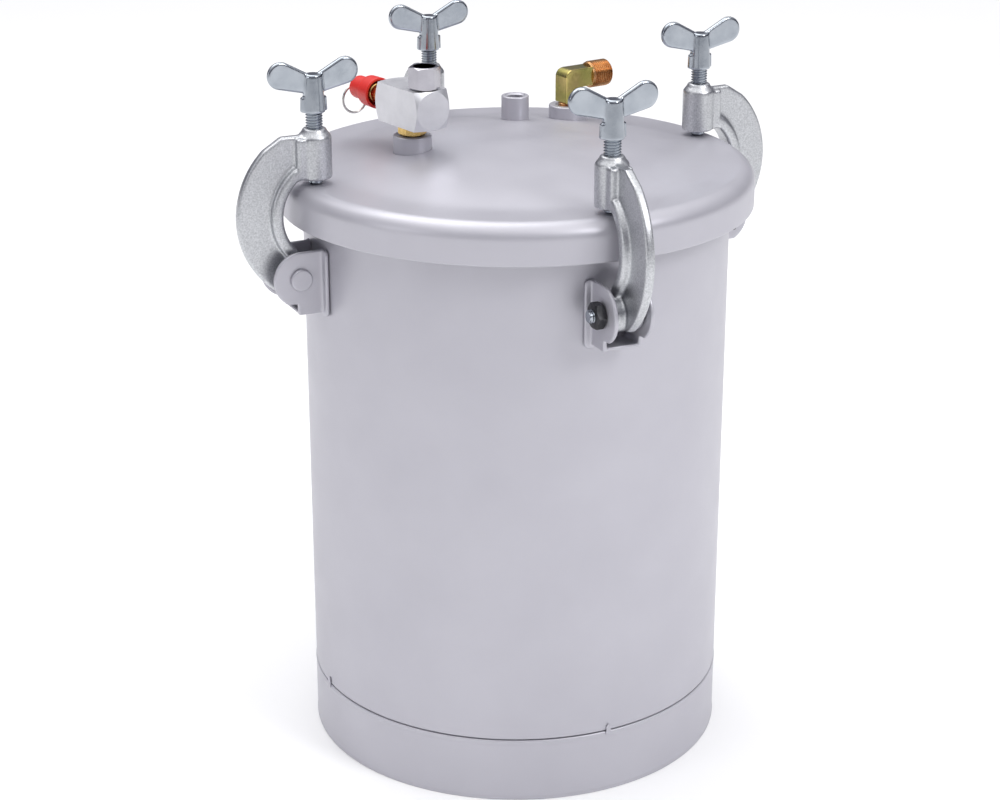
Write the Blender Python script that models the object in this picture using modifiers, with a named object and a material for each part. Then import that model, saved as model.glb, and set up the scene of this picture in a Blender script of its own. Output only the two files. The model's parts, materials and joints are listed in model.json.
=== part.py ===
"""Resin pressure pot: a steel tank whose domed lid is held down by four swing clamps.

The pot stands on the plane Z = 0 with its axis on +Z.  Clamps sit on +X, +Y, -X and -Y.
Each clamp has a bracket on the tank wall, a pin, a swinging C-shaped arm and a wing screw
with a swivelling thrust tip.  The lid carries a relief valve and air inlet on a drilled
block, a spare threaded port and an outlet elbow.  Everything is in metres.
"""

import math

import bmesh
import bpy
from mathutils import Matrix, Vector

MM = 0.001
GAP = 0.3 * MM              # clearance between pieces that touch

# Tank: shell, dished bottom and base skirt
TANK_RADIUS = 121.5 * MM
TANK_HEIGHT = 337.5 * MM    # floor to the top of the rim bead
TANK_WALL = 2.0 * MM
RIM_BEAD_WIDTH = 5.0 * MM
RIM_BEAD_HEIGHT = 8.5 * MM
SKIRT_HEIGHT = 38.0 * MM
SKIRT_WALL = 1.5 * MM
SKIRT_PROUD = 0.3 * MM      # how far the skirt stands outside the shell
NECK_BOTTOM = 24.0 * MM
BOTTOM_DEPTH = 16.0 * MM    # depth of the dish below its straight flange
BOTTOM_FLANGE = 6.0 * MM
TONGUE_HEIGHT = 5.0 * MM
TONGUE_WIDTH = 3.0 * MM
TONGUE_THICKNESS = 0.8 * MM

# Lid
LID_OVERHANG = 13.5 * MM    # lid edge outside the tank wall
LID_WALL = 2.0 * MM
LID_SKIRT = 22.6 * MM       # height of the turned-down edge
LID_ROUNDING = 9.0 * MM
GASKET_THICKNESS = 3.9 * MM
DOME_INSET = 14.0 * MM      # crease of the dome inside the tank wall radius
DOME_RISE = 11.0 * MM

# Clamp bracket, a folded hat section
BRACKET_SHEET = 2.3 * MM
BRACKET_INNER_WIDTH = 18.4 * MM
BRACKET_FLANGE = 3.2 * MM
BRACKET_NOSE = 15.5 * MM
BRACKET_DROP = 20.5 * MM    # pin axis down to the underside of the floor
BRACKET_FLOOR_REACH = 2.0 * MM
BRACKET_STEP = 13.9 * MM    # pin axis down to the step under the nose

# Clamp pin and nut
PIN_DIAMETER = 7.4 * MM
PIN_HEAD_DIAMETER = 12.4 * MM
PIN_HEAD_THICKNESS = 2.0 * MM
NUT_ACROSS_FLATS = 13.0 * MM
NUT_THICKNESS = 5.5 * MM
PIN_TAIL = 2.6 * MM

# Clamp stations, in degrees from +X
CLAMP_DIRECTIONS = {"right": 2.5, "rear": 90.0, "left": 180.0, "front": 268.2}

# Clamp arm
PIVOT_OUTSET = 1.0 * MM     # pin axis outside the lid edge
PIVOT_BELOW_SEAT = 50.0 * MM
ARM_WEB = 5.0 * MM
ARM_RIB_WIDTH = 13.0 * MM
ARM_RIB_DEPTH = 7.0 * MM
ARM_WEB_DEPTH = 18.4 * MM
ARM_KNUCKLE_RADIUS = 10.0 * MM
ARM_RIM_CLEARANCE = 7.6 * MM
ARM_ARC_INSET = 5.5 * MM    # centre of the C inside the screw axis
ARM_ARC_BELOW_SEAT = 16.5 * MM
ARM_BOSS_RADIUS = 9.25 * MM
ARM_BOSS_ABOVE_SEAT = 3.2 * MM
ARM_BOSS_HEIGHT = 28.0 * MM
ARM_BOSS_CHAMFER = 3.0 * MM
ARM_BOSS_SHOULDER = 4.6 * MM

# Wing screw
SCREW_DIAMETER = 9.4 * MM
SCREW_NECK_DIAMETER = 4.8 * MM
TIP_DIAMETER = 8.0 * MM
TIP_HEIGHT = 4.7 * MM
TIP_SOCKET_DEPTH = 3.4 * MM
HUB_ABOVE_BOSS = 8.5 * MM
HUB_HEIGHT = 21.0 * MM
HUB_BOTTOM_RADIUS = 6.35 * MM
HUB_TOP_RADIUS = 5.0 * MM
HUB_SOCKET_DEPTH = 13.0 * MM
HUB_SOCKET_WALL = 2.0 * MM
WING_SPAN = 52.0 * MM
WING_LOBE_RADIUS = 7.5 * MM
WING_THICKNESS = 3.2 * MM
WING_RISE = 7.8 * MM        # wing tops above the hub top
WING_ROOT_HEIGHT = 10.0 * MM

# Ports on the lid: position, boss radius, boss height and bore radius
INLET_PORT = (-56.5 * MM, 17.0 * MM)
INLET_BOSS_RADIUS = 10.9 * MM
INLET_BOSS_HEIGHT = 8.8 * MM
SPARE_PORT = (29.9 * MM, 63.3 * MM)
SPARE_BOSS_RADIUS = 8.2 * MM
SPARE_BOSS_HEIGHT = 14.5 * MM
OUTLET_PORT = (63.7 * MM, 60.4 * MM)
OUTLET_BOSS_RADIUS = 11.5 * MM
OUTLET_BOSS_HEIGHT = 9.0 * MM
INLET_BORE = 5.8 * MM
SPARE_BORE = 5.0 * MM
OUTLET_BORE = 6.3 * MM
BOSS_ROOT = 5.0 * MM        # how far a boss reaches below the lid's outer face

# Inlet fittings and the drilled block
NIPPLE_ACROSS_FLATS = 14.0 * MM
NIPPLE_HEX_HEIGHT = 5.6 * MM
NIPPLE_STUB_LENGTH = 8.0 * MM
PASSAGE_RADIUS = 3.0 * MM
BLOCK_WIDTH = 22.0 * MM
BLOCK_LENGTH = 42.0 * MM
BLOCK_TURN = math.radians(-79.5)     # heading of the block's front end from +X
INLET_NUT_OFFSET = 12.6 * MM         # inlet nut ahead of the block's centre
INLET_NUT_ACROSS_FLATS = 15.6 * MM
INLET_NUT_HEIGHT = 12.6 * MM
INLET_NUT_WALL = 1.6 * MM
INLET_STUB_RADIUS = 4.6 * MM

# Relief valve, measured outwards from the block's rear end
VALVE_STUB_RADIUS = 5.0 * MM
VALVE_HEX_ACROSS_FLATS = 13.0 * MM
VALVE_HEX_LENGTH = 6.0 * MM
VALVE_BARREL_RADIUS = 5.6 * MM
VALVE_BARREL_LENGTH = 26.0 * MM
VALVE_CHAMBER_RADIUS = 4.2 * MM
VALVE_STEM_RADIUS = 1.6 * MM
VALVE_DISC_THICKNESS = 2.0 * MM
VALVE_END_WALL = 2.0 * MM
CAP_START = 12.6 * MM
CAP_LENGTH = 23.0 * MM
CAP_RIM_RADIUS = 9.0 * MM
CAP_END_RADIUS = 6.6 * MM
CAP_FLARE_LENGTH = 9.5 * MM
CAP_WALL = 1.6 * MM
STEM_EYE_RADIUS = 2.6 * MM
STEM_EYE_HOLE = 1.2 * MM
RING_RADIUS = 8.0 * MM
RING_WIRE_RADIUS = 0.7 * MM
SPRING_WIRE_RADIUS = 0.5 * MM
SPRING_TURNS = 5

# Outlet elbow
ELBOW_TURN = math.radians(9.5)
ELBOW_SECTION = 11.2 * MM
ELBOW_CHAMFER = 1.6 * MM
ELBOW_STANDOFF = 1.5 * MM            # bare thread between boss and body
ELBOW_AXIS_HEIGHT = 16.0 * MM        # horizontal leg's axis above the outlet boss
ELBOW_LEG = 14.6 * MM                # vertical axis to the start of the outer thread
ELBOW_THREAD_RADIUS = 8.0 * MM
ELBOW_THREAD_LENGTH = 13.6 * MM
ELBOW_BORE = 4.5 * MM
ELBOW_SIDE_BORE = 4.2 * MM

# Facets around a full turn
WALL_FACETS = 48
FITTING_FACETS = 24
SMALL_FACETS = 16

# Heights and radii that follow from the sizes above
SKIRT_RADIUS = TANK_RADIUS + SKIRT_PROUD
NECK_RADIUS = SKIRT_RADIUS - SKIRT_WALL - GAP
LID_RADIUS = TANK_RADIUS + LID_OVERHANG
SEAT_Z = TANK_HEIGHT + GASKET_THICKNESS + 2 * GAP + LID_WALL
DOME_RADIUS = TANK_RADIUS - DOME_INSET
SCREW_CIRCLE = TANK_RADIUS
PIVOT_RADIUS = LID_RADIUS + PIVOT_OUTSET
PIVOT_Z = SEAT_Z - PIVOT_BELOW_SEAT
BOSS_BOTTOM_Z = SEAT_Z + ARM_BOSS_ABOVE_SEAT
BOSS_TOP_Z = BOSS_BOTTOM_Z + ARM_BOSS_HEIGHT
HUB_BOTTOM_Z = BOSS_TOP_Z + HUB_ABOVE_BOSS
HUB_TOP_Z = HUB_BOTTOM_Z + HUB_HEIGHT
TIP_Z = SEAT_Z + GAP

STEEL_PAINT = ("silver_paint", (0.58, 0.57, 0.62), 0.42, 0.35)
ZINC_CAST = ("cast_zinc", (0.66, 0.67, 0.68), 0.34, 0.95)
ZINC_BRIGHT = ("bright_zinc", (0.62, 0.65, 0.70), 0.22, 1.0)
BLACK_STEEL = ("black_steel", (0.04, 0.04, 0.045), 0.45, 0.6)
ALUMINIUM = ("aluminium", (0.82, 0.82, 0.84), 0.35, 0.9)
CHROME = ("chrome", (0.70, 0.70, 0.72), 0.08, 1.0)
BRASS = ("brass", (0.72, 0.50, 0.20), 0.25, 1.0)
YELLOW_ZINC = ("yellow_zinc", (0.55, 0.46, 0.16), 0.30, 0.9)
RED_PLASTIC = ("red_plastic", (0.70, 0.03, 0.02), 0.40, 0.0)
RUBBER = ("gasket_rubber", (0.03, 0.03, 0.03), 0.80, 0.0)
STEEL_WIRE = ("steel_wire", (0.55, 0.53, 0.52), 0.20, 1.0)


def clear_scene():
    """Remove whatever the file opened with."""
    for item in list(bpy.data.objects):
        bpy.data.objects.remove(item)


def new_collection(name):
    """Make a collection and link it to the scene."""
    collection = bpy.data.collections.new(name)
    bpy.context.scene.collection.children.link(collection)
    return collection


def material(finish):
    """Return the Principled material of a finish, made on first use."""
    name, colour, roughness, metallic = finish
    found = bpy.data.materials.get(name)
    if found:
        return found
    made = bpy.data.materials.new(name)
    made.use_nodes = True
    shader = made.node_tree.nodes["Principled BSDF"]
    shader.inputs["Base Color"].default_value = (*colour, 1.0)
    shader.inputs["Roughness"].default_value = roughness
    shader.inputs["Metallic"].default_value = metallic
    made.diffuse_color = (*colour, 1.0)
    return made


def link(name, mesh):
    """Put a mesh in the scene as a new object."""
    item = bpy.data.objects.new(name, mesh)
    bpy.context.scene.collection.objects.link(item)
    return item


def bake(item):
    """Replace an object's data by its evaluated mesh and drop its modifiers."""
    bpy.context.view_layer.update()
    graph = bpy.context.evaluated_depsgraph_get()
    mesh = bpy.data.meshes.new_from_object(item.evaluated_get(graph))
    if item.type != "MESH":
        mesh_item = link(item.name + "_mesh", mesh)
        mesh_item.matrix_world = item.matrix_world
        bpy.data.objects.remove(item)
        return mesh_item
    item.modifiers.clear()
    item.data = mesh
    return item


def weld(item, distance=0.005 * MM):
    """Merge points that lie on each other."""
    shape = bmesh.new()
    shape.from_mesh(item.data)
    bmesh.ops.remove_doubles(shape, verts=shape.verts, dist=distance)
    shape.to_mesh(item.data)
    shape.free()


def turned(profile, facets=FITTING_FACETS, closed=False):
    """Turn a profile of (radius, height) points about Z; it runs down its outer side."""
    mesh = bpy.data.meshes.new("profile")
    edges = [(i, i + 1) for i in range(len(profile) - 1)]
    if closed:
        edges.append((len(profile) - 1, 0))
    mesh.from_pydata([(r, 0.0, z) for r, z in profile], edges, [])
    item = link("turned", mesh)
    screw = item.modifiers.new("turn", "SCREW")
    screw.angle = 2 * math.pi
    screw.steps = facets
    screw.render_steps = facets
    screw.use_merge_vertices = True
    screw.merge_threshold = 0.01 * MM
    bake(item)
    weld(item)
    return item


def ring(outer, inner, top, bottom, facets=FITTING_FACETS):
    """A plain tube standing on Z."""
    return turned([(outer, top), (outer, bottom), (inner, bottom), (inner, top)], facets, True)


def rod(radius, bottom, top, facets=FITTING_FACETS):
    """A solid cylinder standing on Z; with 6 facets it is a hexagon's bar."""
    shape = bmesh.new()
    bmesh.ops.create_cone(shape, cap_ends=True, segments=facets, radius1=radius, radius2=radius,
                          depth=top - bottom, matrix=Matrix.Translation((0, 0, (top + bottom) / 2)))
    mesh = bpy.data.meshes.new("rod")
    shape.to_mesh(mesh)
    shape.free()
    return link("rod", mesh)


def hexagon(across_flats, bottom, top):
    """A hexagonal bar standing on Z."""
    return rod(across_flats / math.sqrt(3), bottom, top, 6)


def box(low, high):
    """A box between two corners."""
    low, high = Vector(low), Vector(high)
    size = high - low
    shape = bmesh.new()
    place = Matrix.Translation((low + high) / 2) @ Matrix.Diagonal((*size, 1.0))
    bmesh.ops.create_cube(shape, size=1.0, matrix=place)
    mesh = bpy.data.meshes.new("box")
    shape.to_mesh(mesh)
    shape.free()
    return link("box", mesh)


def plate(outline, thickness):
    """A flat outline in XY, extruded half its thickness each way along Z."""
    curve = bpy.data.curves.new("outline", "CURVE")
    curve.dimensions = "2D"
    curve.fill_mode = "BOTH"
    curve.extrude = thickness / 2
    spline = curve.splines.new("POLY")
    spline.points.add(len(outline) - 1)
    for point, (x, y) in zip(spline.points, outline):
        point.co = (x, y, 0.0, 1.0)
    spline.use_cyclic_u = True
    item = bake(link("outline", curve))
    weld(item)
    return item


def wire(points, radius, closed=False, resolution=2):
    """A round wire along a list of points."""
    curve = bpy.data.curves.new("wire", "CURVE")
    curve.dimensions = "3D"
    curve.bevel_depth = radius
    curve.bevel_resolution = resolution
    curve.use_fill_caps = not closed
    spline = curve.splines.new("POLY")
    spline.points.add(len(points) - 1)
    for point, place in zip(spline.points, points):
        point.co = (*place, 1.0)
    spline.use_cyclic_u = closed
    item = bake(link("wire", curve))
    weld(item)
    return item


def arc(centre, radius, start, end, steps):
    """Points of an arc, in degrees, both ends included."""
    span = [math.radians(start + (end - start) * i / steps) for i in range(steps + 1)]
    return [(centre[0] + radius * math.cos(a), centre[1] + radius * math.sin(a)) for a in span]


def move(item, matrix):
    """Move an object's mesh."""
    item.data.transform(matrix)
    return item


def boolean(target, tool, operation):
    """Cut or join a tool into a target and remove the tool."""
    step = target.modifiers.new("boolean", "BOOLEAN")
    step.operation = operation
    step.solver = "EXACT"
    step.object = tool
    bake(target)
    bpy.data.objects.remove(tool)
    weld(target, 0.002 * MM)
    return target


def join(target, *tools):
    """Unite tools with a target."""
    for tool in tools:
        boolean(target, tool, "UNION")
    return target


def cut(target, *tools):
    """Cut tools out of a target."""
    for tool in tools:
        boolean(target, tool, "DIFFERENCE")
    return target


def bevelled(item, width, angle=30.0):
    """Break the sharp edges of an object."""
    step = item.modifiers.new("edges", "BEVEL")
    step.width = width
    step.segments = 1
    step.limit_method = "ANGLE"
    step.angle_limit = math.radians(angle)
    return bake(item)


def shade(mesh):
    """Shade smooth, with sharp edges past 35 degrees."""
    mesh.shade_smooth()
    mesh.set_sharp_from_angle(angle=math.radians(35))


def part(item, name, finish, collection, parent=None, origin=(0, 0, 0)):
    """File a finished piece under its name, with its origin on its joint's axis."""
    item.name = name
    item.data.name = name
    move(item, Matrix.Translation(-Vector(origin)))
    item.location = origin
    item.parent = parent
    item.data.materials.clear()
    item.data.materials.append(material(finish))
    shade(item.data)
    bpy.context.scene.collection.objects.unlink(item)
    collection.objects.link(item)
    return item


def empty(name, collection, matrix):
    """An empty that carries a group of pieces."""
    item = bpy.data.objects.new(name, None)
    item.empty_display_size = 20 * MM
    item.matrix_world = matrix
    collection.objects.link(item)
    return item


def dome_height(x, y):
    """Height of the lid's outer face over a point inside the crease."""
    share = (x * x + y * y) / DOME_RADIUS ** 2
    return SEAT_Z + DOME_RISE * (1.0 - share)


def make_tank(pot):
    """Shell with its rim bead, dished bottom and base skirt."""
    wall, inner = TANK_RADIUS, TANK_RADIUS - TANK_WALL
    neck_inner = NECK_RADIUS - TANK_WALL
    bead = wall + RIM_BEAD_WIDTH
    top, shoulder = TANK_HEIGHT, SKIRT_HEIGHT + GAP
    shell = turned([
        (bead - 1.5 * MM, top), (bead, top - 1.5 * MM), (bead, top - RIM_BEAD_HEIGHT * 0.6),
        (wall, top - RIM_BEAD_HEIGHT), (wall, shoulder + 0.6 * MM), (NECK_RADIUS, shoulder),
        (NECK_RADIUS, NECK_BOTTOM), (neck_inner, NECK_BOTTOM), (neck_inner, shoulder),
        (inner, shoulder + 3 * MM), (inner, top - 1.0 * MM), (inner + 1.0 * MM, top),
    ], WALL_FACETS, closed=True)
    part(shell, "tank_shell", STEEL_PAINT, pot)

    rim = neck_inner - GAP
    flange_top = SKIRT_HEIGHT - 1.0 * MM
    flange_bottom = flange_top - BOTTOM_FLANGE
    turns = [i / 4 for i in range(4)]
    upper = [((rim - TANK_WALL) * t, flange_bottom - BOTTOM_DEPTH * (1 - t * t) + TANK_WALL)
             for t in turns]
    lower = [(rim * t, flange_bottom - BOTTOM_DEPTH * (1 - t * t)) for t in reversed(turns)]
    bottom = turned(
        upper + [(rim - TANK_WALL, flange_bottom + TANK_WALL), (rim - TANK_WALL, flange_top),
                 (rim, flange_top), (rim, flange_bottom)] + lower, WALL_FACETS)
    part(bottom, "tank_bottom", STEEL_PAINT, pot)

    outside, inside = SKIRT_RADIUS, SKIRT_RADIUS - SKIRT_WALL
    skirt = turned([
        (outside, SKIRT_HEIGHT), (outside, 1.0 * MM), (outside - 0.6 * MM, 0.0),
        (inside, 0.0), (inside, SKIRT_HEIGHT),
    ], WALL_FACETS, closed=True)
    root = TONGUE_HEIGHT * 1.2
    half = TONGUE_WIDTH / 2
    outline = [(-half, -root), (half, -root), (half, TONGUE_HEIGHT - half),
               (0.0, TONGUE_HEIGHT), (-half, TONGUE_HEIGHT - half)]
    face = TANK_RADIUS + GAP
    for turn in range(4):
        tongue = plate(outline, TONGUE_THICKNESS)
        upright = Matrix.Rotation(math.pi / 2, 4, "Z") @ Matrix.Rotation(math.pi / 2, 4, "X")
        out = Matrix.Translation((face + TONGUE_THICKNESS / 2, 0.0, SKIRT_HEIGHT))
        root_block = box((outside - SKIRT_WALL / 2, -half * 0.9, SKIRT_HEIGHT - root * 0.9),
                         (face + TONGUE_THICKNESS / 2, half * 0.9, SKIRT_HEIGHT - 0.1 * MM))
        around = Matrix.Rotation(math.pi / 2 * turn, 4, "Z")
        join(skirt, join(move(tongue, around @ out @ upright), move(root_block, around)))
    part(skirt, "base_skirt", STEEL_PAINT, pot)


def make_lid(pot, lid):
    """Pressed lid with its welded bosses, and the gasket under it."""
    edge = LID_RADIUS
    corner = (edge - LID_ROUNDING, SEAT_Z - LID_ROUNDING)
    under = LID_ROUNDING - LID_WALL
    rings = [i / 5 for i in range(6)]
    dome = [(DOME_RADIUS * t, SEAT_Z + DOME_RISE * (1 - t * t)) for t in rings]
    dome_under = [(r, z - LID_WALL) for r, z in reversed(dome)]
    flange_bottom = SEAT_Z - LID_SKIRT
    shell = turned(
        dome + arc(corner, LID_ROUNDING, 90, 0, 4)
        + [(edge, flange_bottom), (edge - LID_WALL, flange_bottom)]
        + arc(corner, under, 0, 90, 3) + dome_under, WALL_FACETS)
    ports = [
        ("inlet_boss", INLET_PORT, INLET_BOSS_RADIUS, INLET_BOSS_HEIGHT, INLET_BORE),
        ("spare_boss", SPARE_PORT, SPARE_BOSS_RADIUS, SPARE_BOSS_HEIGHT, SPARE_BORE),
        ("outlet_boss", OUTLET_PORT, OUTLET_BOSS_RADIUS, OUTLET_BOSS_HEIGHT, OUTLET_BORE),
    ]
    for name, (x, y), radius, height, bore in ports:
        face = dome_height(x, y)
        place = Matrix.Translation((x, y, face))
        hole = move(rod(radius + GAP, -2 * BOSS_ROOT, 2 * BOSS_ROOT), place)
        cut(shell, hole)
        rim = 0.6 * MM
        boss = turned([
            (radius - rim, height), (radius, height - rim), (radius, -BOSS_ROOT),
            (bore, -BOSS_ROOT), (bore, height - rim), (bore + rim, height),
        ], closed=True)
        part(move(boss, place), name, STEEL_PAINT, pot, lid, (x, y, face))
    part(shell, "lid_shell", STEEL_PAINT, pot, lid)

    inner = TANK_RADIUS - TANK_WALL - GAP
    base = TANK_HEIGHT + GAP
    outer = LID_RADIUS - LID_ROUNDING
    gasket = ring(outer, inner, base + GASKET_THICKNESS, base, WALL_FACETS)
    part(gasket, "lid_gasket", RUBBER, pot, lid)


def upright(item):
    """Turn an outline drawn in (radius, height) to stand in the XZ plane."""
    return move(item, Matrix.Rotation(math.pi / 2, 4, "X"))


def across(item):
    """Turn a piece built along Z to lie along Y through the pin's axis."""
    turn = Matrix.Translation((PIVOT_RADIUS, 0, PIVOT_Z)) @ Matrix.Rotation(-math.pi / 2, 4, "X")
    return move(item, turn)


def bracket_shape():
    """Two ears, a floor between them and a curved welding flange each side."""
    half = BRACKET_INNER_WIDTH / 2
    outer = half + BRACKET_SHEET
    plate_inner = TANK_RADIUS + GAP
    plate_outer = plate_inner + BRACKET_SHEET
    root = plate_inner + BRACKET_SHEET / 3
    floor_z = PIVOT_Z - BRACKET_DROP
    front = PIVOT_RADIUS + BRACKET_FLOOR_REACH
    step_z = PIVOT_Z - BRACKET_STEP
    top_z = PIVOT_Z + BRACKET_NOSE
    nose_end = -math.degrees(math.asin(BRACKET_STEP / BRACKET_NOSE))
    outline = ([(root, floor_z), (front, floor_z), (front, step_z)]
               + arc((PIVOT_RADIUS, PIVOT_Z), BRACKET_NOSE, nose_end, 90, 8)
               + [(root, top_z)])
    lip = BRACKET_SHEET / 8
    shape = box((root + lip, -half - BRACKET_SHEET / 2, floor_z + lip),
                (front - lip, half + BRACKET_SHEET / 2, floor_z + lip + BRACKET_SHEET))
    for side in (-1, 1):
        ear = upright(plate(outline, BRACKET_SHEET))
        move(ear, Matrix.Translation((0, side * (half + BRACKET_SHEET / 2), 0)))
        start = math.degrees(math.asin((half + BRACKET_SHEET / 3) / plate_outer))
        end = start + math.degrees((BRACKET_SHEET + BRACKET_FLANGE) / plate_outer)
        sector = (arc((0, 0), plate_inner, start, end, 3)
                  + arc((0, 0), plate_outer, end, start, 3))
        low, high = floor_z - BRACKET_SHEET, top_z - lip
        flange = plate([(x, side * y) for x, y in sector], high - low)
        move(flange, Matrix.Translation((0, 0, (low + high) / 2)))
        join(shape, ear, flange)
    return cut(shape, across(rod(PIN_DIAMETER / 2 + GAP, -2 * outer, 2 * outer, SMALL_FACETS)))


def pin_shape():
    """A round pin with a flat head on the +Y side and a threaded tail on the other."""
    outer = BRACKET_INNER_WIDTH / 2 + BRACKET_SHEET + GAP
    head = outer + PIN_HEAD_THICKNESS
    tail = outer + NUT_THICKNESS + PIN_TAIL
    radius, head_radius = PIN_DIAMETER / 2, PIN_HEAD_DIAMETER / 2
    return across(turned([
        (0, head), (head_radius - 0.5 * MM, head), (head_radius, head - 0.5 * MM),
        (head_radius, outer), (radius, outer), (radius, 0.6 * MM - tail),
        (radius - 0.6 * MM, -tail), (0, -tail),
    ], SMALL_FACETS))


def nut_shape():
    """The pin's hexagon nut, on the -Y side."""
    near = BRACKET_INNER_WIDTH / 2 + BRACKET_SHEET + GAP
    far = near + NUT_THICKNESS
    nut = hexagon(NUT_ACROSS_FLATS, -far, -near)
    return across(cut(nut, rod(PIN_DIAMETER / 2 + GAP, -2 * far, 0, SMALL_FACETS)))


def arm_shape():
    """C-shaped casting: thin web, thick inner rib, knuckle on the pin, boss for the screw."""
    centre = (SCREW_CIRCLE - ARM_ARC_INSET, SEAT_Z - ARM_ARC_BELOW_SEAT)
    inner = LID_RADIUS - centre[0] + ARM_RIM_CLEARANCE
    middle = inner + ARM_RIB_DEPTH
    outer = middle + ARM_WEB_DEPTH
    pivot = (PIVOT_RADIUS, PIVOT_Z)
    knuckle_radius = ARM_KNUCKLE_RADIUS
    foot = (pivot[0] - 0.6 * knuckle_radius, pivot[1] + 0.6 * knuckle_radius)
    heel = (pivot[0] + 0.4 * knuckle_radius, pivot[1] + 0.8 * knuckle_radius)
    toe = (pivot[0] + 0.25 * knuckle_radius, pivot[1] - 0.85 * knuckle_radius)
    shoulder_z = BOSS_TOP_Z - ARM_BOSS_SHOULDER
    web_top = BOSS_TOP_Z - 0.7 * ARM_BOSS_SHOULDER
    root_x = SCREW_CIRCLE + 0.75 * ARM_BOSS_RADIUS
    rib_bottom = BOSS_BOTTOM_Z + 1.2 * MM
    rib_top = rib_bottom + 0.7 * ARM_RIB_DEPTH
    web = upright(plate(
        [(root_x, rib_bottom + 0.3 * ARM_RIB_DEPTH)]
        + arc(centre, (inner + middle) / 2, 46, -38, 6) + [pivot, toe]
        + arc(centre, outer, -52, 47, 10)
        + [(SCREW_CIRCLE + 2.1 * ARM_BOSS_RADIUS, web_top), (root_x, web_top)], ARM_WEB))
    rib = upright(plate(
        [(root_x + MM, rib_bottom)] + arc(centre, inner, 48, -43, 8) + [foot, heel]
        + arc(centre, middle, -42, 54, 8) + [(root_x + MM, rib_top)], ARM_RIB_WIDTH))
    half = BRACKET_INNER_WIDTH / 2 - GAP
    knuckle = across(rod(ARM_KNUCKLE_RADIUS, -half, half, SMALL_FACETS))
    mouth = ARM_BOSS_RADIUS - ARM_BOSS_CHAMFER
    boss = turned([
        (0, BOSS_TOP_Z), (mouth, BOSS_TOP_Z), (ARM_BOSS_RADIUS, shoulder_z),
        (ARM_BOSS_RADIUS, BOSS_BOTTOM_Z + 0.8 * MM), (ARM_BOSS_RADIUS - 0.8 * MM, BOSS_BOTTOM_Z),
        (0, BOSS_BOTTOM_Z),
    ], SMALL_FACETS)
    move(boss, Matrix.Translation((SCREW_CIRCLE, 0, 0)))
    arm = join(boss, web, rib, knuckle)
    bore = rod(SCREW_DIAMETER / 2 + GAP, BOSS_BOTTOM_Z - 5 * MM, BOSS_TOP_Z + 5 * MM, SMALL_FACETS)
    move(bore, Matrix.Translation((SCREW_CIRCLE, 0, 0)))
    eye = across(rod(PIN_DIAMETER / 2 + GAP, -2 * half, 2 * half, SMALL_FACETS))
    return cut(arm, bore, eye)


def tip_shape():
    """Thrust tip with a blind socket for the spindle's end."""
    radius, socket = TIP_DIAMETER / 2, SCREW_NECK_DIAMETER / 2 + GAP
    top = TIP_Z + TIP_HEIGHT
    socket_z = top - TIP_SOCKET_DEPTH
    return turned([
        (0, socket_z), (socket, socket_z), (socket, top), (radius, top),
        (radius, TIP_Z + 0.8 * MM), (radius - 0.8 * MM, TIP_Z), (0, TIP_Z),
    ], SMALL_FACETS)


def hub_socket_radius():
    """Radius of the hub's socket at its mouth."""
    return HUB_BOTTOM_RADIUS - HUB_SOCKET_WALL


def spindle_shape():
    """Screw spindle from its end in the thrust tip to its end in the hub."""
    radius, neck = SCREW_DIAMETER / 2, SCREW_NECK_DIAMETER / 2
    tip_top = TIP_Z + TIP_HEIGHT
    low = tip_top - TIP_SOCKET_DEPTH + GAP
    head = hub_socket_radius() - GAP
    top = HUB_BOTTOM_Z + HUB_SOCKET_DEPTH - GAP
    shoulder = HUB_BOTTOM_Z - GAP
    return turned([
        (0, top), (head - 0.5 * MM, top), (head, top - 0.5 * MM), (head, shoulder),
        (radius, shoulder), (radius, tip_top + GAP), (neck, tip_top + GAP), (neck, low), (0, low),
    ], SMALL_FACETS)


def handle_shape():
    """Wing handle: a tapered hub with two rising wings."""
    lobe = WING_LOBE_RADIUS
    reach = WING_SPAN / 2 - lobe
    lobe_z = HUB_TOP_Z + WING_RISE - lobe
    root_top = HUB_TOP_Z - 1.5 * MM
    root_bottom = root_top - WING_ROOT_HEIGHT
    right = arc((reach, lobe_z), lobe, -76, 118, 8)
    left = [(-x, z) for x, z in reversed(right)]
    wings = upright(plate([(0, root_bottom)] + right + [(0, root_top)] + left, WING_THICKNESS))
    wings = bevelled(wings, 0.6 * MM)
    hub = turned([
        (0, HUB_TOP_Z), (HUB_TOP_RADIUS - 1.0 * MM, HUB_TOP_Z), (HUB_TOP_RADIUS, HUB_TOP_Z - MM),
        (HUB_BOTTOM_RADIUS, HUB_BOTTOM_Z + 0.5 * MM), (HUB_BOTTOM_RADIUS - 0.5 * MM, HUB_BOTTOM_Z),
        (0, HUB_BOTTOM_Z),
    ], SMALL_FACETS)
    top = HUB_BOTTOM_Z + HUB_SOCKET_DEPTH
    socket = rod(hub_socket_radius(), HUB_BOTTOM_Z - 5 * MM, top, SMALL_FACETS)
    return cut(join(hub, wings), socket)


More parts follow.
